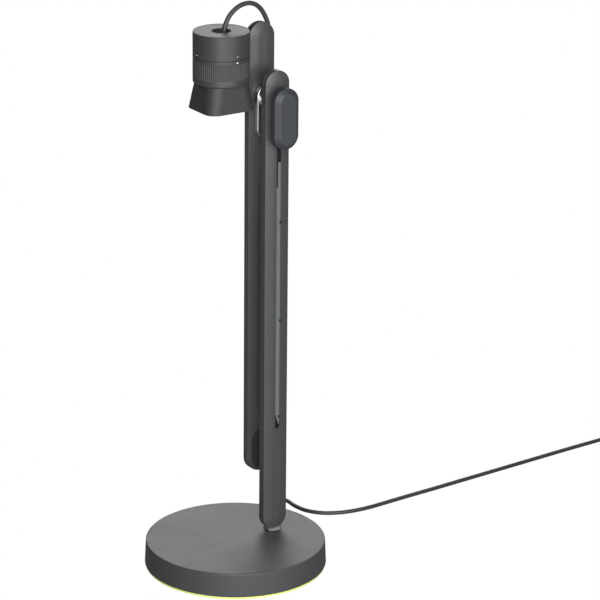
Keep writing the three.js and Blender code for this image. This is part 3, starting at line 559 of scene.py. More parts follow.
def cord_curve(name, line, diameter):
    data = bpy.data.curves.new(name, "CURVE")
    data.dimensions = "3D"
    data.bevel_depth = diameter / 2 * MM
    data.bevel_resolution = 5
    data.use_fill_caps = True
    spline = data.splines.new("POLY")
    spline.points.add(len(line) - 1)
    for point, place in zip(spline.points, line):
        point.co = (*(place * MM), 1)
    return new_object(name, data)


LEAD_LINE = cord_line()
lead = cord_curve("usb_lead", LEAD_LINE, CORD_DIAMETER)
settle(lead, "cord_grey", "base", ["usb_cord", "usb_cord_coil"])

LOOP_X = sum(p.x for p in box_mm("cable_loop")) / 2
LOOP_DIAMETER = 4.6
LOOP_ROUTE = [  # (y, z), from the head's grommet over to the arm's end
    (2.7, 531), (3.2, 535), (4.4, 540.5), (6.6, 546), (10.6, 551.8), (16.2, 556.4), (21.8, 559.2),
    (27.3, 560.3), (32.9, 560.1), (38.4, 558), (42.8, 554.7), (46.4, 550.3), (49.3, 545.4), (51.5, 540.6),
    (52.5, 537.6), (52.6, 535.9),
]


def flat_tube(line, diameter):
    """A round tube along a line that stays in a plane of constant x."""
    sides = 28
    loops = []
    across = Vector((1, 0, 0))
    for i, place in enumerate(line):
        run = (line[min(i + 1, len(line) - 1)] - line[max(i - 1, 0)]).normalized()
        up = across.cross(run)
        angles = [2 * math.pi * k / sides for k in range(sides)]
        loops.append([place + diameter / 2 * (math.cos(a) * across + math.sin(a) * up) for a in angles])
    return loft(loops, capped=True)


LOOP_LINE = smooth_path([Vector((LOOP_X, y, z)) for y, z in LOOP_ROUTE], 6)
cable_loop = to_object("camera_cable_loop", flat_tube(LOOP_LINE, LOOP_DIAMETER))
shade(cable_loop, 40)
settle(cable_loop, "cord_grey", "head", ["cable_loop"])
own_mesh(cable_loop)


# ------ base

base_low, base_high = box_mm("base_cover")
BASE_RADIUS = base_high.x
BASE_TOP = base_high.z
BASE_BOTTOM = base_low.z
TOP_RADIUS = BASE_RADIUS - 1.05  # the side wall leans in
WALL = 2.5
SCREW_RING = 80
mast_low, mast_high = box_mm("mast_shell_front", "mast_shell_rear")
MAST_Y = (mast_low.y + mast_high.y) / 2
SCREW_ANGLES = [math.radians(a) for a in (90, 210, 330)]
SCREW_PLACES = [(SCREW_RING * math.cos(a), SCREW_RING * math.sin(a)) for a in SCREW_ANGLES]
SHANK_HOLE = 1.8


def arc(cx, cz, radius, first, last, steps):
    """Points of a profile's round edge, by degrees from the outward direction."""
    angles = [math.radians(first + (last - first) * k / steps) for k in range(steps + 1)]
    return [(cx + radius * math.cos(a), cz + radius * math.sin(a)) for a in angles]


def base_cover():
    edge = 1.4
    brim = 0.4
    inner = BASE_TOP - WALL
    profile = [
        (0, BASE_TOP), (40, BASE_TOP), (80, BASE_TOP),
        *arc(TOP_RADIUS - edge, BASE_TOP - edge, edge, 90, 0, 8),
        *arc(BASE_RADIUS - brim, BASE_BOTTOM + brim, brim, 0, -90, 3),
        (BASE_RADIUS - WALL, BASE_BOTTOM), (TOP_RADIUS - WALL, inner - 1.5),
        (TOP_RADIUS - WALL - 1.5, inner), (0, inner),
    ]
    posts = [rod(4, 18, (x, y, 5.3), (0, 0, 1)) for x, y in SCREW_PLACES]
    holes = [rod(SHANK_HOLE, 14, (x, y, 4), (0, 0, 1)) for x, y in SCREW_PLACES]
    shaft = rod(9.3, 8, (0, MAST_Y, BASE_TOP + 1), (0, 0, -1), 72)
    cord_hole = rod(3.7, 10, CORD_OUT * 83 + Vector((0, 0, CORD_HEIGHT)), CORD_OUT)
    # The cover's graphite is painted lighter, as painted light on its side.
    piece(
        "base_cover_shell", lathe(profile, count=192), "graphite_painted_lit_base", "base", ["base_cover"],
        cutters=[*holes, shaft, cord_hole], adders=posts, angle=25,
    )


def floor_plate():
    low, high = box_mm("floor_plate")
    radius = high.x
    edge = 0.4
    raised = low.z + 0.9
    beads = []
    for middle in (48, 34):
        beads += [(middle + 3, low.z), (middle + 2, raised), (middle - 2, raised), (middle - 3, low.z)]
    profile = [
        (0, high.z), (radius - edge, high.z), (radius, high.z - edge), (radius, low.z + edge),
        (radius - edge, low.z), *beads, (0, low.z),
    ]
    heads = [rod(3.5, 2.2, (x, y, low.z - 0.4), (0, 0, 1)) for x, y in SCREW_PLACES]
    shanks = [rod(SHANK_HOLE, 6, (x, y, 0), (0, 0, 1)) for x, y in SCREW_PLACES]
    piece(
        "floor_plate_pressed", lathe(profile, count=128), "steel", "base", ["floor_plate"],
        cutters=heads + shanks,
    )


def foot_ring():
    high = box_mm("foot_ring")[1]
    radius = high.x
    inner = 66
    deep = 0.7
    top_edge = arc(radius - 0.3, high.z - 0.3, 0.3, 90, 0, 3)
    profile = [(inner, high.z), *top_edge, *arc(radius - 0.5, 0.5, 0.5, 0, -90, 4)]
    for groove in range(86, 68, -3):
        profile += [(groove, 0), (groove - 0.3, deep), (groove - 1.0, deep), (groove - 1.3, 0)]
    profile += [(inner + 0.4, 0), (inner, 0.4)]
    bm = lathe(profile, count=160, closed=True)
    piece("foot_ring_grooved", bm, "lime", "base", ["foot_ring"])


def recess_screw(body, number, radius, axis, socket=1.5):
    """A cap screw with a hexagonal socket, on the line of its CAD node. axis points from head to tip."""
    node = f"{body}_screw_{number}"
    low, high = box_mm(node)
    middle = (low + high) / 2
    direction = Vector(axis)
    reach = abs((high - low).dot(direction))
    origin = middle - direction * (reach / 2)
    head = 1.2
    shank = 1.1
    profile = [
        (0, 0), (radius - 0.35, 0), (radius - 0.1, 0.1), (radius, 0.35), (radius, head), (shank, head),
        (shank, reach - 0.3), (shank - 0.3, reach), (0, reach),
    ]
    socket_cut = along(lathe([(0, -1), (socket, -1), (socket, 0.9), (0, 0.9)], count=6), origin, axis)
    bm = along(lathe(profile, count=40), origin, axis)
    piece(f"{body}_cap_screw_{number}", bm, "steel", body, [node], [socket_cut])


def gland():
    """A stepped bush in the wall and a ribbed taper along the lead, from (radius, reach) points."""
    bore = 2.4
    end = 105.6
    profile = [(bore, 84.2), (4, 84.2), (4, 85.6), (3.4, 85.6), (3.4, 90.4), *arc(3.6, 90.8, 0.4, -90, 0, 3)]
    ribs = 8
    for i in range(ribs):
        at = 93 + i * 1.5
        outer = 4 - 1.1 * (at - CORD_EXIT) / (end - CORD_EXIT)
        groove = outer - 0.55
        profile += [(outer, at), (outer - 0.1, at + 0.8), (groove, at + 0.95), (groove, at + 1.4)]
    profile += [(3.0, end - 0.4), (2.8, end), (bore, end)]
    origin = Vector((0, 0, CORD_HEIGHT))
    bm = along(lathe(profile, count=48, closed=True), origin, CORD_OUT)
    return piece("cord_gland_ribbed", bm, "rubber", "base", ["cord_gland"])


SAME_POINT = 1e-3
SAME_FACE = math.radians(2)
SHARP_EDGE = math.radians(40)


def refined(body, rows):
    """CAD nodes with their flat faces merged and sharp edges rounded: (name, node, material, bevel)."""
    for name, node, material, bevel in rows:
        bm = bmesh.new()
        bm.from_mesh(frame["nodes"][node].data)
        bm.transform(Matrix.Scale(1 / MM, 4))
        bmesh.ops.remove_doubles(bm, verts=bm.verts, dist=SAME_POINT)
        bmesh.ops.dissolve_limit(bm, angle_limit=SAME_FACE, verts=bm.verts, edges=bm.edges)
        sharp = [e for e in bm.edges if len(e.link_faces) == 2 and e.calc_face_angle(0) > SHARP_EDGE]
        bmesh.ops.bevel(
            bm, geom=sharp, offset=bevel, segments=2, profile=0.5, affect="EDGES", clamp_overlap=True,
            offset_type="OFFSET",
        )
        piece(name, bm, material, body, [node], angle=32)


def plug_loop(x, height, width, radius):
    """A rounded rectangle across the plug, at x along it from the plug's middle towards its tip."""
    low, high = box_mm("usb_plug_body")
    middle = (low + high) / 2
    flat = rounded_box_loop(0, 0, 0, height / 2, width / 2, radius, 6)
    return [Vector((middle.x - x, middle.y + p.y, middle.z + p.x)) for p in flat]


def plug():
    full = (6.2, 11.4, 2.8)
    groove = (5.7, 10.9, 2.6)
    rows = [(-11, 4.8, 4.8, 2.3), (-8, 5.8, 8.4, 2.6), (-6, 6.2, 11.2, 2.8), (-3.6, *full)]
    for i in range(4):
        at = -3 + i * 2.4
        rows += [(at, *full), (at + 0.3, *groove), (at + 0.9, *groove), (at + 1.2, *full)]
    rows += [(9.4, 6.2, 11.6, 2.8), (10.3, 6.0, 11.4, 2.7), (10.8, 5.6, 11.0, 2.5), (11, 5.0, 10.4, 2.2)]
    body = piece(
        "usb_plug_moulding", loft([plug_loop(*row) for row in rows], capped=True),
        "cord_grey", "base", ["usb_plug_body"],
    )
    shell_rows = [
        (11.3, 2.5, 8.3, 1.2), (17.7, 2.5, 8.3, 1.2), (17.95, 2.4, 8.2, 1.15), (18, 2.2, 8.0, 1.05),
        (17.9, 1.9, 7.7, 0.9), (12, 1.9, 7.7, 0.9),
    ]
    shell = loft([plug_loop(*row) for row in shell_rows], capped=True)
    tongue_rows = [(11.8, 0.7, 6.6, 0.3), (17.2, 0.7, 6.6, 0.3), (17.4, 0.5, 6.4, 0.3)]
    tongue = loft([plug_loop(*row) for row in tongue_rows], capped=True)
    tip = piece("usb_plug_tip", shell, "steel", "base", ["usb_plug_shell"], adders=[tongue])
    return [body, tip]


def tie():
    low, high = box_mm("coil_tie")
    middle = (low + high) / 2
    half = (high - low) / 2
    thick = 0.5
    outer = rounded_box_loop(0, 0, 0, half.y, half.z, 2.0, 6)
    inner = rounded_box_loop(0, 0, 0, half.y - thick, half.z - thick, 1.6, 6)

    def loops(points, sides):
        return [[Vector((middle.x + x, middle.y + p.x, middle.z + p.y)) for p in points] for x in sides]

    width = half.x
    rows = loops(outer, (-width, 0, width)) + loops(inner, (width, 0, -width))
    return piece("coil_tie_band", loft(rows, closed=True), "rubber", "base", ["coil_tie"])


base_cover()
floor_plate()
foot_ring()
for number in (1, 2, 3):
    recess_screw("base", number, 3.1, (0, 0, 1), 1.7)
refined("base", [
    ("ballast_casting", "ballast", "cast_iron", 0.6),
    ("swivel_bushing_ring", "swivel_bushing", "black_plastic", 0.25),
])

lead_pieces = [gland(), tie(), *plug()]


# ------ mast and arm shells

HALF_THICK = 6.0
CROWN_RADIUS = 48.0  # the broad faces bulge
CREASE = 0.5  # rounding between a broad face and a narrow side
BAR_WALL = 1.8
SEAM = 0.06  # half of the line between two shells


def crown_depth(half_width):
    return HALF_THICK - CROWN_RADIUS + math.sqrt(CROWN_RADIUS ** 2 - half_width ** 2)


class Bar:
    """A hollow bar in two shells, placed by its CAD nodes."""

    def __init__(self, hollow_from, *nodes):
        self.low, self.high = box_mm(*nodes)
        middle = (self.low + self.high) / 2
        self.x = middle.x
        self.y = middle.y
        width = self.high.y - self.low.y
        self.outline = Pill(self.y, self.low.z, self.high.z, width)
        ceiling = self.high.z - BAR_WALL
        self.space = Pill(self.y, self.low.z + hollow_from, ceiling, width - 2 * BAR_WALL)

    def outside(self, last):
        """(depth, inset) from the seam over the narrow side and the crowned face, to this half width."""
        reach = self.outline.radius
        turn = math.pi / 2 - math.asin(reach / CROWN_RADIUS)
        drawn = CREASE * (1 - math.cos(turn))
        start = crown_depth(reach - drawn) - CREASE * math.sin(turn)
        line = [(SEAM, 0.14), (SEAM + 0.08, 0.04), (SEAM + 0.2, 0)]
        for k in range(6):
            angle = turn * k / 5
            line.append((start + CREASE * math.sin(angle), CREASE * (1 - math.cos(angle))))
        first = math.asin((reach - drawn) / CROWN_RADIUS)
        final = math.asin(last / CROWN_RADIUS)
        for k in range(1, 15):
            half = CROWN_RADIUS * math.sin(first + (final - first) * k / 14)
            line.append((crown_depth(half), reach - half))
        return line

    def shell(self, side, slot=None):
        """The half on the side of +X (1) or -X (-1). A slot, as a Pill, goes through its face."""
        def ring(outline, depth, inset):
            return outline.loop(self.x + side * depth, inset)

        last = abs(slot.y - self.y) + slot.radius + 0.4 if slot else 0.6
        rows = [ring(self.outline, *station) for station in self.outside(last)]
        inner = HALF_THICK - BAR_WALL
        cavity = [ring(self.space, inner, 2), ring(self.space, inner - 2, 0), ring(self.space, SEAM, 0)]
        if not slot:
            return loft([*reversed(rows), *reversed(cavity)], capped=True)
        face = crown_depth(last)
        for depth, inset in ((face, -0.2), (face - 0.06, -0.06), (face - 0.2, 0), (inner, 0)):
            rows.append(ring(slot, depth, inset))
        return loft(rows + cavity, closed=True)


def node_height(node):
    low, high = box_mm(node)
    return (low.z + high.z) / 2


def screw_posts(bar, *nodes):
    """Posts inside the -X shell, and two holes for the screw of each."""
    inner = HALF_THICK - BAR_WALL
    posts, holes = [], []
    for z in map(node_height, nodes):
        posts.append(rod(3.4, inner - 0.2, (bar.x - inner - 0.3, bar.y, z), (1, 0, 0)))
        holes.append(rod(2.7, 2.8, (bar.x - HALF_THICK - 1, bar.y, z), (1, 0, 0), 40))
        holes.append(rod(1.4, 9, (bar.x - HALF_THICK, bar.y, z), (1, 0, 0), 24))
    return posts, holes


COLLAR_RADIUS = 8.75
COLLAR_TOP = 33.2
COLLAR_FLAT = 3.9  # half its thickness, between the mast's broad sides
PLAY = 0.3  # room round it
POST_RADIUS = 3.8
SLOT_BOTTOM = 135
SLOT_TOP = 480


def flats(bm, half):
    """A rod along Z squeezed to a slab of this half thickness: its points past the flats are drawn back."""
    middle = sum(v.co.x for v in bm.verts) / len(bm.verts)
    for vertex in bm.verts:
        vertex.co.x = middle + min(max(vertex.co.x - middle, -half), half)
    return bm


def mast():
    bar = Bar(BAR_WALL, "mast_shell_front", "mast_shell_rear")
    grip_slot = Pill(bar.y + 1.2, SLOT_BOTTOM, SLOT_TOP, 5)
    arm_slot = Pill(bar.y, SLOT_BOTTOM, SLOT_TOP, 9.2)
    bottom = bar.low.z

    def foot_cuts():
        below = bottom - 5
        recess = rod(COLLAR_RADIUS + PLAY, COLLAR_TOP + PLAY - below, (bar.x, bar.y, below), (0, 0, 1), 64)
        socket = rod(POST_RADIUS + PLAY, 14, (bar.x, bar.y, bottom - 1), (0, 0, 1), 40)
        return [flats(recess, COLLAR_FLAT + PLAY), socket]

    clips = []
    for number in (1, 2, 3):
        low, high = box_mm(f"strip_clip_{number}")
        clips.append(rod(1.6, 7, (bar.x, (low.y + high.y) / 2, (low.z + high.z) / 2), (1, 0, 0)))
    piece(
        "mast_half_grip_side", bar.shell(1, grip_slot), "graphite", "mast", ["mast_shell_front"],
        cutters=foot_cuts() + clips, angle=28,
    )
    posts, holes = screw_posts(bar, "mast_screw_1", "mast_screw_2")
    piece(
        "mast_half_arm_side", bar.shell(-1, arm_slot), "graphite", "mast", ["mast_shell_rear"],
        cutters=foot_cuts() + holes, adders=posts, angle=28,
    )
    for number in (1, 2):
        recess_screw("mast", number, 2.3, (1, 0, 0))


def collar():
    bore = 2.4
    edge = 0.5
    wide = COLLAR_RADIUS - edge
    low = BASE_TOP + PLAY
    past = 12
    profile = [
        (bore, 11), (5.6, 11), (6, 11.4), (6, low), *arc(wide, low + edge, edge, -90, 0, 4),
        *arc(wide, COLLAR_TOP - edge, edge, 0, 90, 4), (POST_RADIUS, COLLAR_TOP), (POST_RADIUS, 61.6),
        (POST_RADIUS - 0.4, 62), (bore, 62),
    ]
    sides = []
    for side in (-1, 1):
        corner = (side * COLLAR_FLAT, MAST_Y - past, low + 0.02)
        sides.append(block(corner, (side * past, MAST_Y + past, COLLAR_TOP + 1)))
    bm = lathe(profile, 0, MAST_Y, count=96, closed=True)
    piece("swivel_post", bm, "chrome", "mast", ["swivel_collar"], cutters=sides)


mast()
collar()
refined("mast", [
    ("swivel_lock_nut", "swivel_nut", "steel", 0.4),
    ("thrust_disc", "thrust_washer", "nylon", 0.15),
    ("slot_rail", "slot_strip", "rail_grey", 0.12),
    *((f"rail_clip_{n}", f"strip_clip_{n}", "black_plastic", 0.12) for n in (1, 2, 3)),
])


# ------ carriage and runner

PIVOT_Z = 466.0
GRIP_SCREWS_Z = (440, 470)
GRIP_SCREWS_Y = MAST_Y + 4.6


def grip():
    low, high = box_mm("grip_body")
    outline = Pill.of("grip_body")
    back, face = low.x, high.x
    wall = 2.0
    wide = 5.0
    slope = face - 4.0  # the sloping border runs from here, and is this wide
    outside = [
        (face, wide + 0.25), (face - 0.04, wide - 0.05), (face - 0.16, wide - 0.3), (face - 0.36, wide - 0.6),
        (slope + 0.35, 0.5), (slope + 0.05, 0.18), (slope - 0.35, 0.02), (slope - 0.7, 0), (back + 0.8, 0),
        (back + 0.35, 0.12), (back + 0.1, 0.4), (back, 0.8),
    ]
    inside = [(back, wall), (slope - 0.6, wall), (face - wall, wide)]
    bm = loft([outline.loop(x, inset, 40) for x, inset in outside + inside], capped=True)
    post = face - back - 1.4
    posts = [rod(2.8, post, (back + 0.4, GRIP_SCREWS_Y, z), (1, 0, 0)) for z in GRIP_SCREWS_Z]
    holes = [rod(1.4, 7.2, (back - 1, GRIP_SCREWS_Y, z), (1, 0, 0), 24) for z in GRIP_SCREWS_Z]
    piece("hand_grip", bm, "soft_grip", "carriage", ["grip_body"], cutters=holes, adders=posts, angle=24)


def spring():
    """The strip spring's turns, wound in its drum's place."""
    low, high = box_mm("counter_spring")
    middle = (low + high) / 2
    outer = (high.z - low.z) / 2 - 0.15
    inner = 4.0
    thick = 0.3
    steps = 7 * 36
    section = ((low.x, 0), (high.x, 0), (high.x, thick), (low.x, thick))
    loops = []
    for i in range(steps + 1):
        angle = math.radians(i * 10)
        r = inner + (outer - inner - thick) * i / steps
        out = Vector((0, math.cos(angle), math.sin(angle)))
        loops.append([Vector((x, middle.y, middle.z)) + out * (r + lift) for x, lift in section])
    bm = loft(loops, capped=True)
    piece("counter_spring_coil", bm, "steel", "carriage", ["counter_spring"])


def pivot():
    low, high = box_mm("pivot_shaft")
    edge = 0.4
    flange = 7.1
    profile = [
        (0, low.x), (4 - edge, low.x), (4, low.x + edge), (4, -14.9), (6.9, -14.9),
        *arc(flange, -14.5, edge, -90, 0, 4), *arc(flange, -6.8, edge, 0, 90, 4), (4, -6.4), (4, 1.2),
        (3, 1.2), (3, high.x - edge), (3 - edge, high.x), (0, high.x),
    ]
    bm = along(lathe(profile, count=72), (0, MAST_Y, PIVOT_Z), (1, 0, 0))
    piece("pivot_boss", bm, "chrome", "carriage", ["pivot_shaft"])


def plate():
    low, high = box_mm("pivot_plate")
    outline = Pill.of("pivot_plate")
    near = high.x
    far = near - 6.3
    edge = 1.2
    rows = arc(far + edge, edge, edge, 180, 270, 8) + arc(near - edge, edge, edge, 270, 360, 8)
    neck = block((low.x, outline.y - 0.8, 438), (far + 1, outline.y + 3.4, 472))
    hole = rod(4.3, 8, (near + 2, outline.y, PIVOT_Z), (-1, 0, 0), 48)
    bm = loft([outline.loop(x, inset, 36) for x, inset in rows], capped=True)
    piece("pivot_plate_plated", bm, "chrome", "runner", ["pivot_plate"], cutters=[hole], adders=[neck])


grip()
spring()
pivot()
plate()
refined("carriage", [
    ("carriage_slider", "carriage_block", "black_plastic", 0.25),
    ("glide_front", "glide_pad_front", "nylon", 0.25),
    ("glide_rear", "glide_pad_rear", "nylon", 0.25),
    ("grip_backplate", "grip_base", "black_plastic", 0.2),
    ("pivot_lock_nut", "pivot_nut", "steel", 0.25),
    ("grip_fixing_1", "grip_screw_1", "steel", 0.15),
    ("grip_fixing_2", "grip_screw_2", "steel", 0.15),
])
refined("runner", [("arm_slider", "arm_runner", "nylon", 0.25)])


# ------ arm

ARM = Bar(46.7, "arm_shell_front", "arm_shell_rear")  # solid up to above the rest pad
pin_low, pin_high = box_mm("head_pivot_pin")
ARM_PIVOT_Z = (pin_low.z + pin_high.z) / 2
TONGUE_WIDTH = 5.2
TONGUE_HALF = 4.0
TONGUE_REACH = 22.0
CABLE_Y = 9.2
CABLE_HOLE = 2.9


def tongue_slot():
    """The space that the head's tongue sweeps, from pointing forwards to past the arm's end."""
    last = math.radians(80)
    points = [(0, -TONGUE_HALF), (-TONGUE_REACH, -TONGUE_HALF)]
    for k in range(21):
        angle = math.pi + (last - math.pi) * k / 20
        points.append((TONGUE_REACH * math.cos(angle), TONGUE_REACH * math.sin(angle)))
    aside = Vector((math.sin(last), -math.cos(last))) * TONGUE_HALF
    tip = Vector((math.cos(last), math.sin(last))) * TONGUE_REACH
    points += [tuple(tip + aside), tuple(aside)]
    sides = (ARM.x - TONGUE_WIDTH / 2, ARM.x + TONGUE_WIDTH / 2)
    loops = [[Vector((x, ARM.y + u, ARM_PIVOT_Z + v)) for u, v in points] for x in sides]
    return loft(loops, capped=True)


def cable_cuts():
    down = (0, 0, -1)
    above = ARM.high.z + 2
    return [
        rod(CABLE_HOLE, above - ARM_PIVOT_Z, (ARM.x, ARM.y + CABLE_Y, above), down, 40),
        rod(CABLE_HOLE, 6.5, (ARM.x, ARM.y + CABLE_Y - 1.3, above), down, 40),
    ]


def arm():
    pad_low, pad_high = box_mm("arm_end_pad")
    slot = Pill(ARM.y + 1.3, 160, 476, 5)
    seat = Pill(ARM.y, pad_low.z - PLAY, pad_high.z + PLAY, pad_high.y - pad_low.y + 2 * PLAY)
    face = ARM.high.x
    seat_cut = pill_body(seat, [(face + 1, 0), (face - 1.8, 0)])
    piece(
        "arm_half_grip_side", ARM.shell(1, slot), "graphite", "arm", ["arm_shell_front"],
        cutters=[seat_cut, tongue_slot(), *cable_cuts()], angle=28,
    )
    posts, holes = screw_posts(ARM, "arm_screw_1", "arm_screw_2")
    piece(
        "arm_half_outer", ARM.shell(-1), "graphite", "arm", ["arm_shell_rear"],
        cutters=[tongue_slot(), *cable_cuts(), *holes], adders=posts, angle=28,
    )
    for number in (1, 2):
        recess_screw("arm", number, 2.3, (1, 0, 0))


def end_pad():
    low, high = box_mm("arm_end_pad")
    outline = Pill.of("arm_end_pad")
    rows = [(low.x, 0.15), (low.x + 0.08, 0), (high.x - 0.15, 0), (high.x - 0.04, 0.06), (high.x, 0.2)]
    rows += [(high.x, 1.5), (high.x - 0.15, 1.7)]
    piece("arm_rest_pad", pill_body(outline, rows), "rubber", "arm", ["arm_end_pad"])


def cable_inside():
    low, high = box_mm("arm_cable")
    r = LOOP_DIAMETER / 2
    profile = [(0, low.z), (r, low.z), (r, high.z), (0, high.z)]
    bm = lathe(profile, (low.x + high.x) / 2, (low.y + high.y) / 2, 28)
    piece("camera_cable_in_arm", bm, "cord_grey", "arm", ["arm_cable"])


arm()
end_pad()
cable_inside()
refined("arm", [
    ("head_pin", "head_pivot_pin", "steel", 0.2),
    ("head_friction_disc_in", "head_washer_inner", "nylon", 0.15),
    ("head_friction_disc_out", "head_washer_outer", "nylon", 0.15),
])


# ------ head

head_low, head_high = box_mm("head_housing")
HEAD_X = (head_low.x + head_high.x) / 2
HEAD_Y = (head_low.y + head_high.y) / 2
HEAD_RADIUS = (head_high.x - head_low.x) / 2
DOT_ANGLE = math.radians(3)
ring_low, ring_high = box_mm("zoom_ring")
hood_low, hood_high = box_mm("lens_hood")


def housing():
    r = HEAD_RADIUS
    top = head_high.z
    low = head_low.z
    hole = 9.4
    edge = 0.9
    sunk = top - 0.14
    profile = [
        (r - 2, low), (r - 0.35, low), (r - 0.1, low + 0.1), (r, low + 0.35),
        *arc(r - edge, top - edge, edge, 0, 90, 6), (r - 1.3, top), (r - 1.5, sunk), (hole + 1.0, sunk),
        (hole + 0.8, top), (hole + 0.3, top), (hole, top - 0.3), (hole, top - 2), (r - 2, top - 2),
    ]
    start = Vector((HEAD_X - 2.6, HEAD_Y + 20, ARM_PIVOT_Z - 3.7))
    gate = block(start, start + Vector((5.2, 10, 7.4)))
    light = node_height("status_light")
    lamp = rod(0.9, 10, (HEAD_X, HEAD_Y - 30, light), (0, 1, 0), 32)
    out = Vector((math.cos(DOT_ANGLE), math.sin(DOT_ANGLE), 0))
    middle = Vector((HEAD_X, HEAD_Y, light + 0.8))
    mark = rod(0.5, 1.2, middle + out * (r + 0.75), -out, 24)
    piece(
        "head_cover", lathe(profile, HEAD_X, HEAD_Y, 192, True), "graphite_head", "head",
        ["head_housing"], cutters=[gate, lamp, mark], angle=26,
    )
    paint = rod(0.42, 0.4, middle + out * (r - 0.04), -out, 24)
    piece("cover_dot", paint, "light_window", "head")


RIBS = 78
RIB_SHAPE = (0, 0, 0.06, 0.3, 0.42, 0.42, 0.3, 0.06)  # the depth of the grooves, round one rib
RIBS_LOW = 493.4
RIBS_HIGH = 510.6


def zoom_ring():
    r = HEAD_RADIUS
    count = RIBS * len(RIB_SHAPE)

    def row(radius, z, depth=0.0):
        loop = []
        for i in range(count):
            angle = 2 * math.pi * i / count
            reach = radius - depth * RIB_SHAPE[i % len(RIB_SHAPE)]
            loop.append(Vector((HEAD_X + reach * math.cos(angle), HEAD_Y + reach * math.sin(angle), z)))
        return loop

    low = ring_low.z
    top = ring_high.z
    stations = [(r - 2.2, low), (r - 0.7, low), (r - 0.45, low + 0.3), (r - 0.1, low + 0.75), (r, low + 1)]
    ends = [(r, 0, 0), (r - 0.1, 0.4, 0), (r - 0.1, 0.7, 0.6), (r, 1.1, 1)]
    stations += [(radius, RIBS_LOW + aside, depth) for radius, aside, depth in ends]
    stations += [(radius, RIBS_HIGH - aside, depth) for radius, aside, depth in reversed(ends)]
    stations += [(r, top - 0.35), (r - 0.1, top - 0.1), (r - 0.35, top), (r - 2.2, top)]
    rows = [row(*station) for station in stations]
    low_dot, high_dot = box_mm("zoom_index")
    middle = (low_dot + high_dot) / 2
    out = Vector((middle.x - HEAD_X, middle.y - HEAD_Y, 0)).normalized()
    start = Vector((HEAD_X, HEAD_Y, middle.z)) + out * 20
    bm = loft(rows, closed=True)
    piece(
        "zoom_ring_ribbed", bm, "graphite_head", "zoom_ring", ["zoom_ring"],
        cutters=[rod(1.1, 10, start, out, 32)], angle=22,
    )
    dot = [(0, 25.6), (0.8, 25.6), (0.8, 27.0), (0.6, 27.2), (0, 27.25)]
    bm = along(lathe(dot, count=32), Vector((HEAD_X, HEAD_Y, middle.z)), out)
    piece("zoom_dot", bm, "light_window", "zoom_ring", ["zoom_index"])


def hood():
    """A flared square shade with light-trapping steps inside, under the lens."""
    top = hood_high.z
    bottom = hood_low.z

    def row(z, inset):
        share = (top - z) / (top - bottom)
        half_x = 21.8 + 2.6 * share - inset
        half_y = 22.4 + 4.4 * share - inset
        return rounded_box_loop(HEAD_X, HEAD_Y, z, half_x, half_y, 13 - 1.3 * share - inset)

    stations = [
        (top, 0.5), (top - 0.15, 0.15), (top - 0.5, 0), ((top + bottom) / 2, 0), (bottom + 0.6, 0),
        (bottom + 0.2, 0.12), (bottom + 0.04, 0.35), (bottom, 0.6), (bottom, 1.1), (bottom + 0.3, 1.4),
    ]
    steps = 9
    ceiling = 484.4
    opening = 10.5
    for i in range(steps):
        z = bottom + 1.5 + i * 2.3
        stations += [(z, 1.45), (z + 1.7, 1.45), (z + 1.9, 1.75), (z + 2.2, 1.75)]
    stations += [(ceiling - 0.3, 1.5), (ceiling, 1.8)]
    rows = [row(*station) for station in stations]
    rows += [rounded_box_loop(HEAD_X, HEAD_Y, z, opening, opening, opening) for z in (ceiling, top)]
    # The hood's graphite is painted darker, as painted shade from the ring above.
    piece("lens_shade", loft(rows, closed=True), "graphite_painted_shade_hood", "head", ["lens_hood"], angle=26)


def grommet():
    low, high = box_mm("cable_grommet")
    floor = 530.6
    bore = 2.7
    cable_y = HEAD_Y + 2.3
    profile = [
        (0, low.z), (9.1, low.z), (9.1, high.z - 0.3), (8.9, high.z), (8.3, high.z), (8.1, high.z - 0.3),
        (8.1, floor + 1), (7.6, floor + 0.2), (7.1, floor), (0, floor),
    ]
    lip = [(bore, 529.2), (3.9, 529.2), (3.8, 531.8), (3.5, 532.1), (2.9, 532.1), (bore, 531.8)]
    piece(
        "cable_grommet_cup", lathe(profile, HEAD_X, HEAD_Y, 72), "rubber", "head", ["cable_grommet"],
        cutters=[rod(bore, 8, (HEAD_X, cable_y, 528), (0, 0, 1), 40)],
        adders=[lathe(lip, HEAD_X, cable_y, 40, True)],
    )


def lens():
    barrel = [
        (7.5, 470.3), (7.8, 470), (9.9, 470), (10.2, 470.3), (10.2, 478), (9.9, 478.3), (9.9, 479),
        (10.2, 479.3), (10.2, 496), (7.5, 496), (7.5, 473),
    ]
    bm = lathe(barrel, HEAD_X, HEAD_Y, 72, True)
    piece("lens_tube", bm, "black_plastic", "head", ["lens_barrel"])
    edge = 7.2
    shares = [k / 10 for k in range(11)]
    for end, crown in (("front", 1.4), ("rear", 0.9)):
        low, high = box_mm(f"{end}_lens")
        under = [(edge * k, low.z + crown * k ** 2) for k in shares]
        over = [(edge * k, high.z - 0.6 * crown * k ** 2) for k in reversed(shares)]
        bm = lathe(under + over, HEAD_X, HEAD_Y, 64)
        piece(f"lens_{end}_element", bm, "lens_glass", "head", [f"{end}_lens"])


def status_lamp():
    low, high = box_mm("status_light")
    r = (high.x - low.x) / 2
    reach = high.y - low.y
    profile = [(0, 0), (r - 0.2, 0.02), (r, 0.2), (r, reach), (0, reach)]
    origin = (HEAD_X, low.y, node_height("status_light"))
    bm = along(lathe(profile, count=32), origin, (0, 1, 0))
    piece("status_lamp", bm, "light_window", "head", ["status_light"])


housing()
zoom_ring()
hood()
grommet()
lens()
status_lamp()
refined("head", [
    ("head_tongue", "head_bracket", "steel", 0.35),
    ("head_core", "head_chassis", "black_plastic", 0.3),
    ("camera_chip", "image_sensor", "black_plastic", 0.15),
    ("camera_board", "sensor_board", "circuit_board", 0.15),
])


# ------ floor and light

FLOOR_HALF = 6000
LIT_AT = Vector((-10, 20, 300))  # where the lamps point, unless they say so


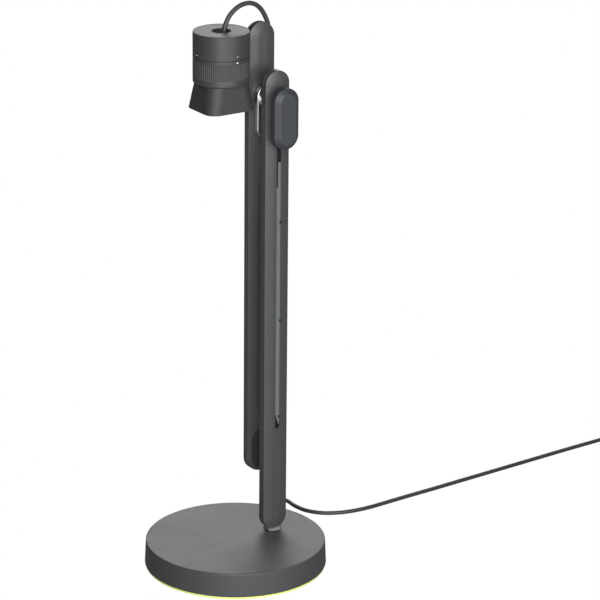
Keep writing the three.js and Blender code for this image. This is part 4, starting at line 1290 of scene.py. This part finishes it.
def seen_as_white(tree, level, strength):
    """White where the viewer looks straight at it, and of this level as a source of light."""
    path = add(tree, "ShaderNodeLightPath")
    pick = add(tree, "ShaderNodeMapRange")
    pick.inputs["To Min"].default_value = level
    pick.inputs["To Max"].default_value = 1.0
    tree.links.new(path.outputs["Is Camera Ray"], pick.inputs["Value"])
    tree.links.new(pick.outputs["Result"], strength)


def stage_floor(level):
    bm = bmesh.new()
    bmesh.ops.create_grid(bm, x_segments=1, y_segments=1, size=FLOOR_HALF)
    floor = to_object("studio_floor", bm)
    material = bpy.data.materials.new("studio_floor")
    material.use_nodes = True
    tree = material.node_tree
    tree.nodes.remove(tree.nodes["Principled BSDF"])
    glow = add(tree, "ShaderNodeEmission")
    seen_as_white(tree, level, glow.inputs["Strength"])
    tree.links.new(glow.outputs[0], tree.nodes["Material Output"].inputs["Surface"])
    floor.data.materials.append(material)


def world(level):
    made = bpy.data.worlds.new("studio")
    bpy.context.scene.world = made
    made.use_nodes = True
    back = made.node_tree.nodes["Background"]
    back.inputs["Color"].default_value = (1, 1, 1, 1)
    seen_as_white(made.node_tree, level, back.inputs["Strength"])


def soft_light(name, azimuth, elevation, distance, width, height, power, target=LIT_AT):
    """A soft box, in metres. Its azimuth is in degrees, from behind the viewer towards their right."""
    a = math.radians(azimuth)
    e = math.radians(elevation)
    away = from_view(math.sin(a) * math.cos(e), -math.cos(a) * math.cos(e), math.sin(e))
    data = bpy.data.lights.new(name, "AREA")
    data.shape = "RECTANGLE"
    data.size = width
    data.size_y = height
    data.energy = power
    light = new_object(name, data)
    light.location = target * MM + away * distance
    light.rotation_euler = away.to_track_quat("Z", "Y").to_euler()


stage_floor(level=0.2)
world(level=0.02)
soft_light("key", -3, 25, 2.6, 1.0, 1.4, 49)
soft_light("key_low", 0, 4, 2.2, 0.7, 1.2, 22, target=Vector((0, 0, 80)))
soft_light("key_right", 14, 14, 2.6, 0.5, 1.8, 15)
soft_light("right", 38, 12, 2.6, 0.5, 1.8, 34)
soft_light("back", 180, 24, 2.4, 3.2, 1.8, 51)
bpy.context.scene.view_settings.view_transform = "Standard"
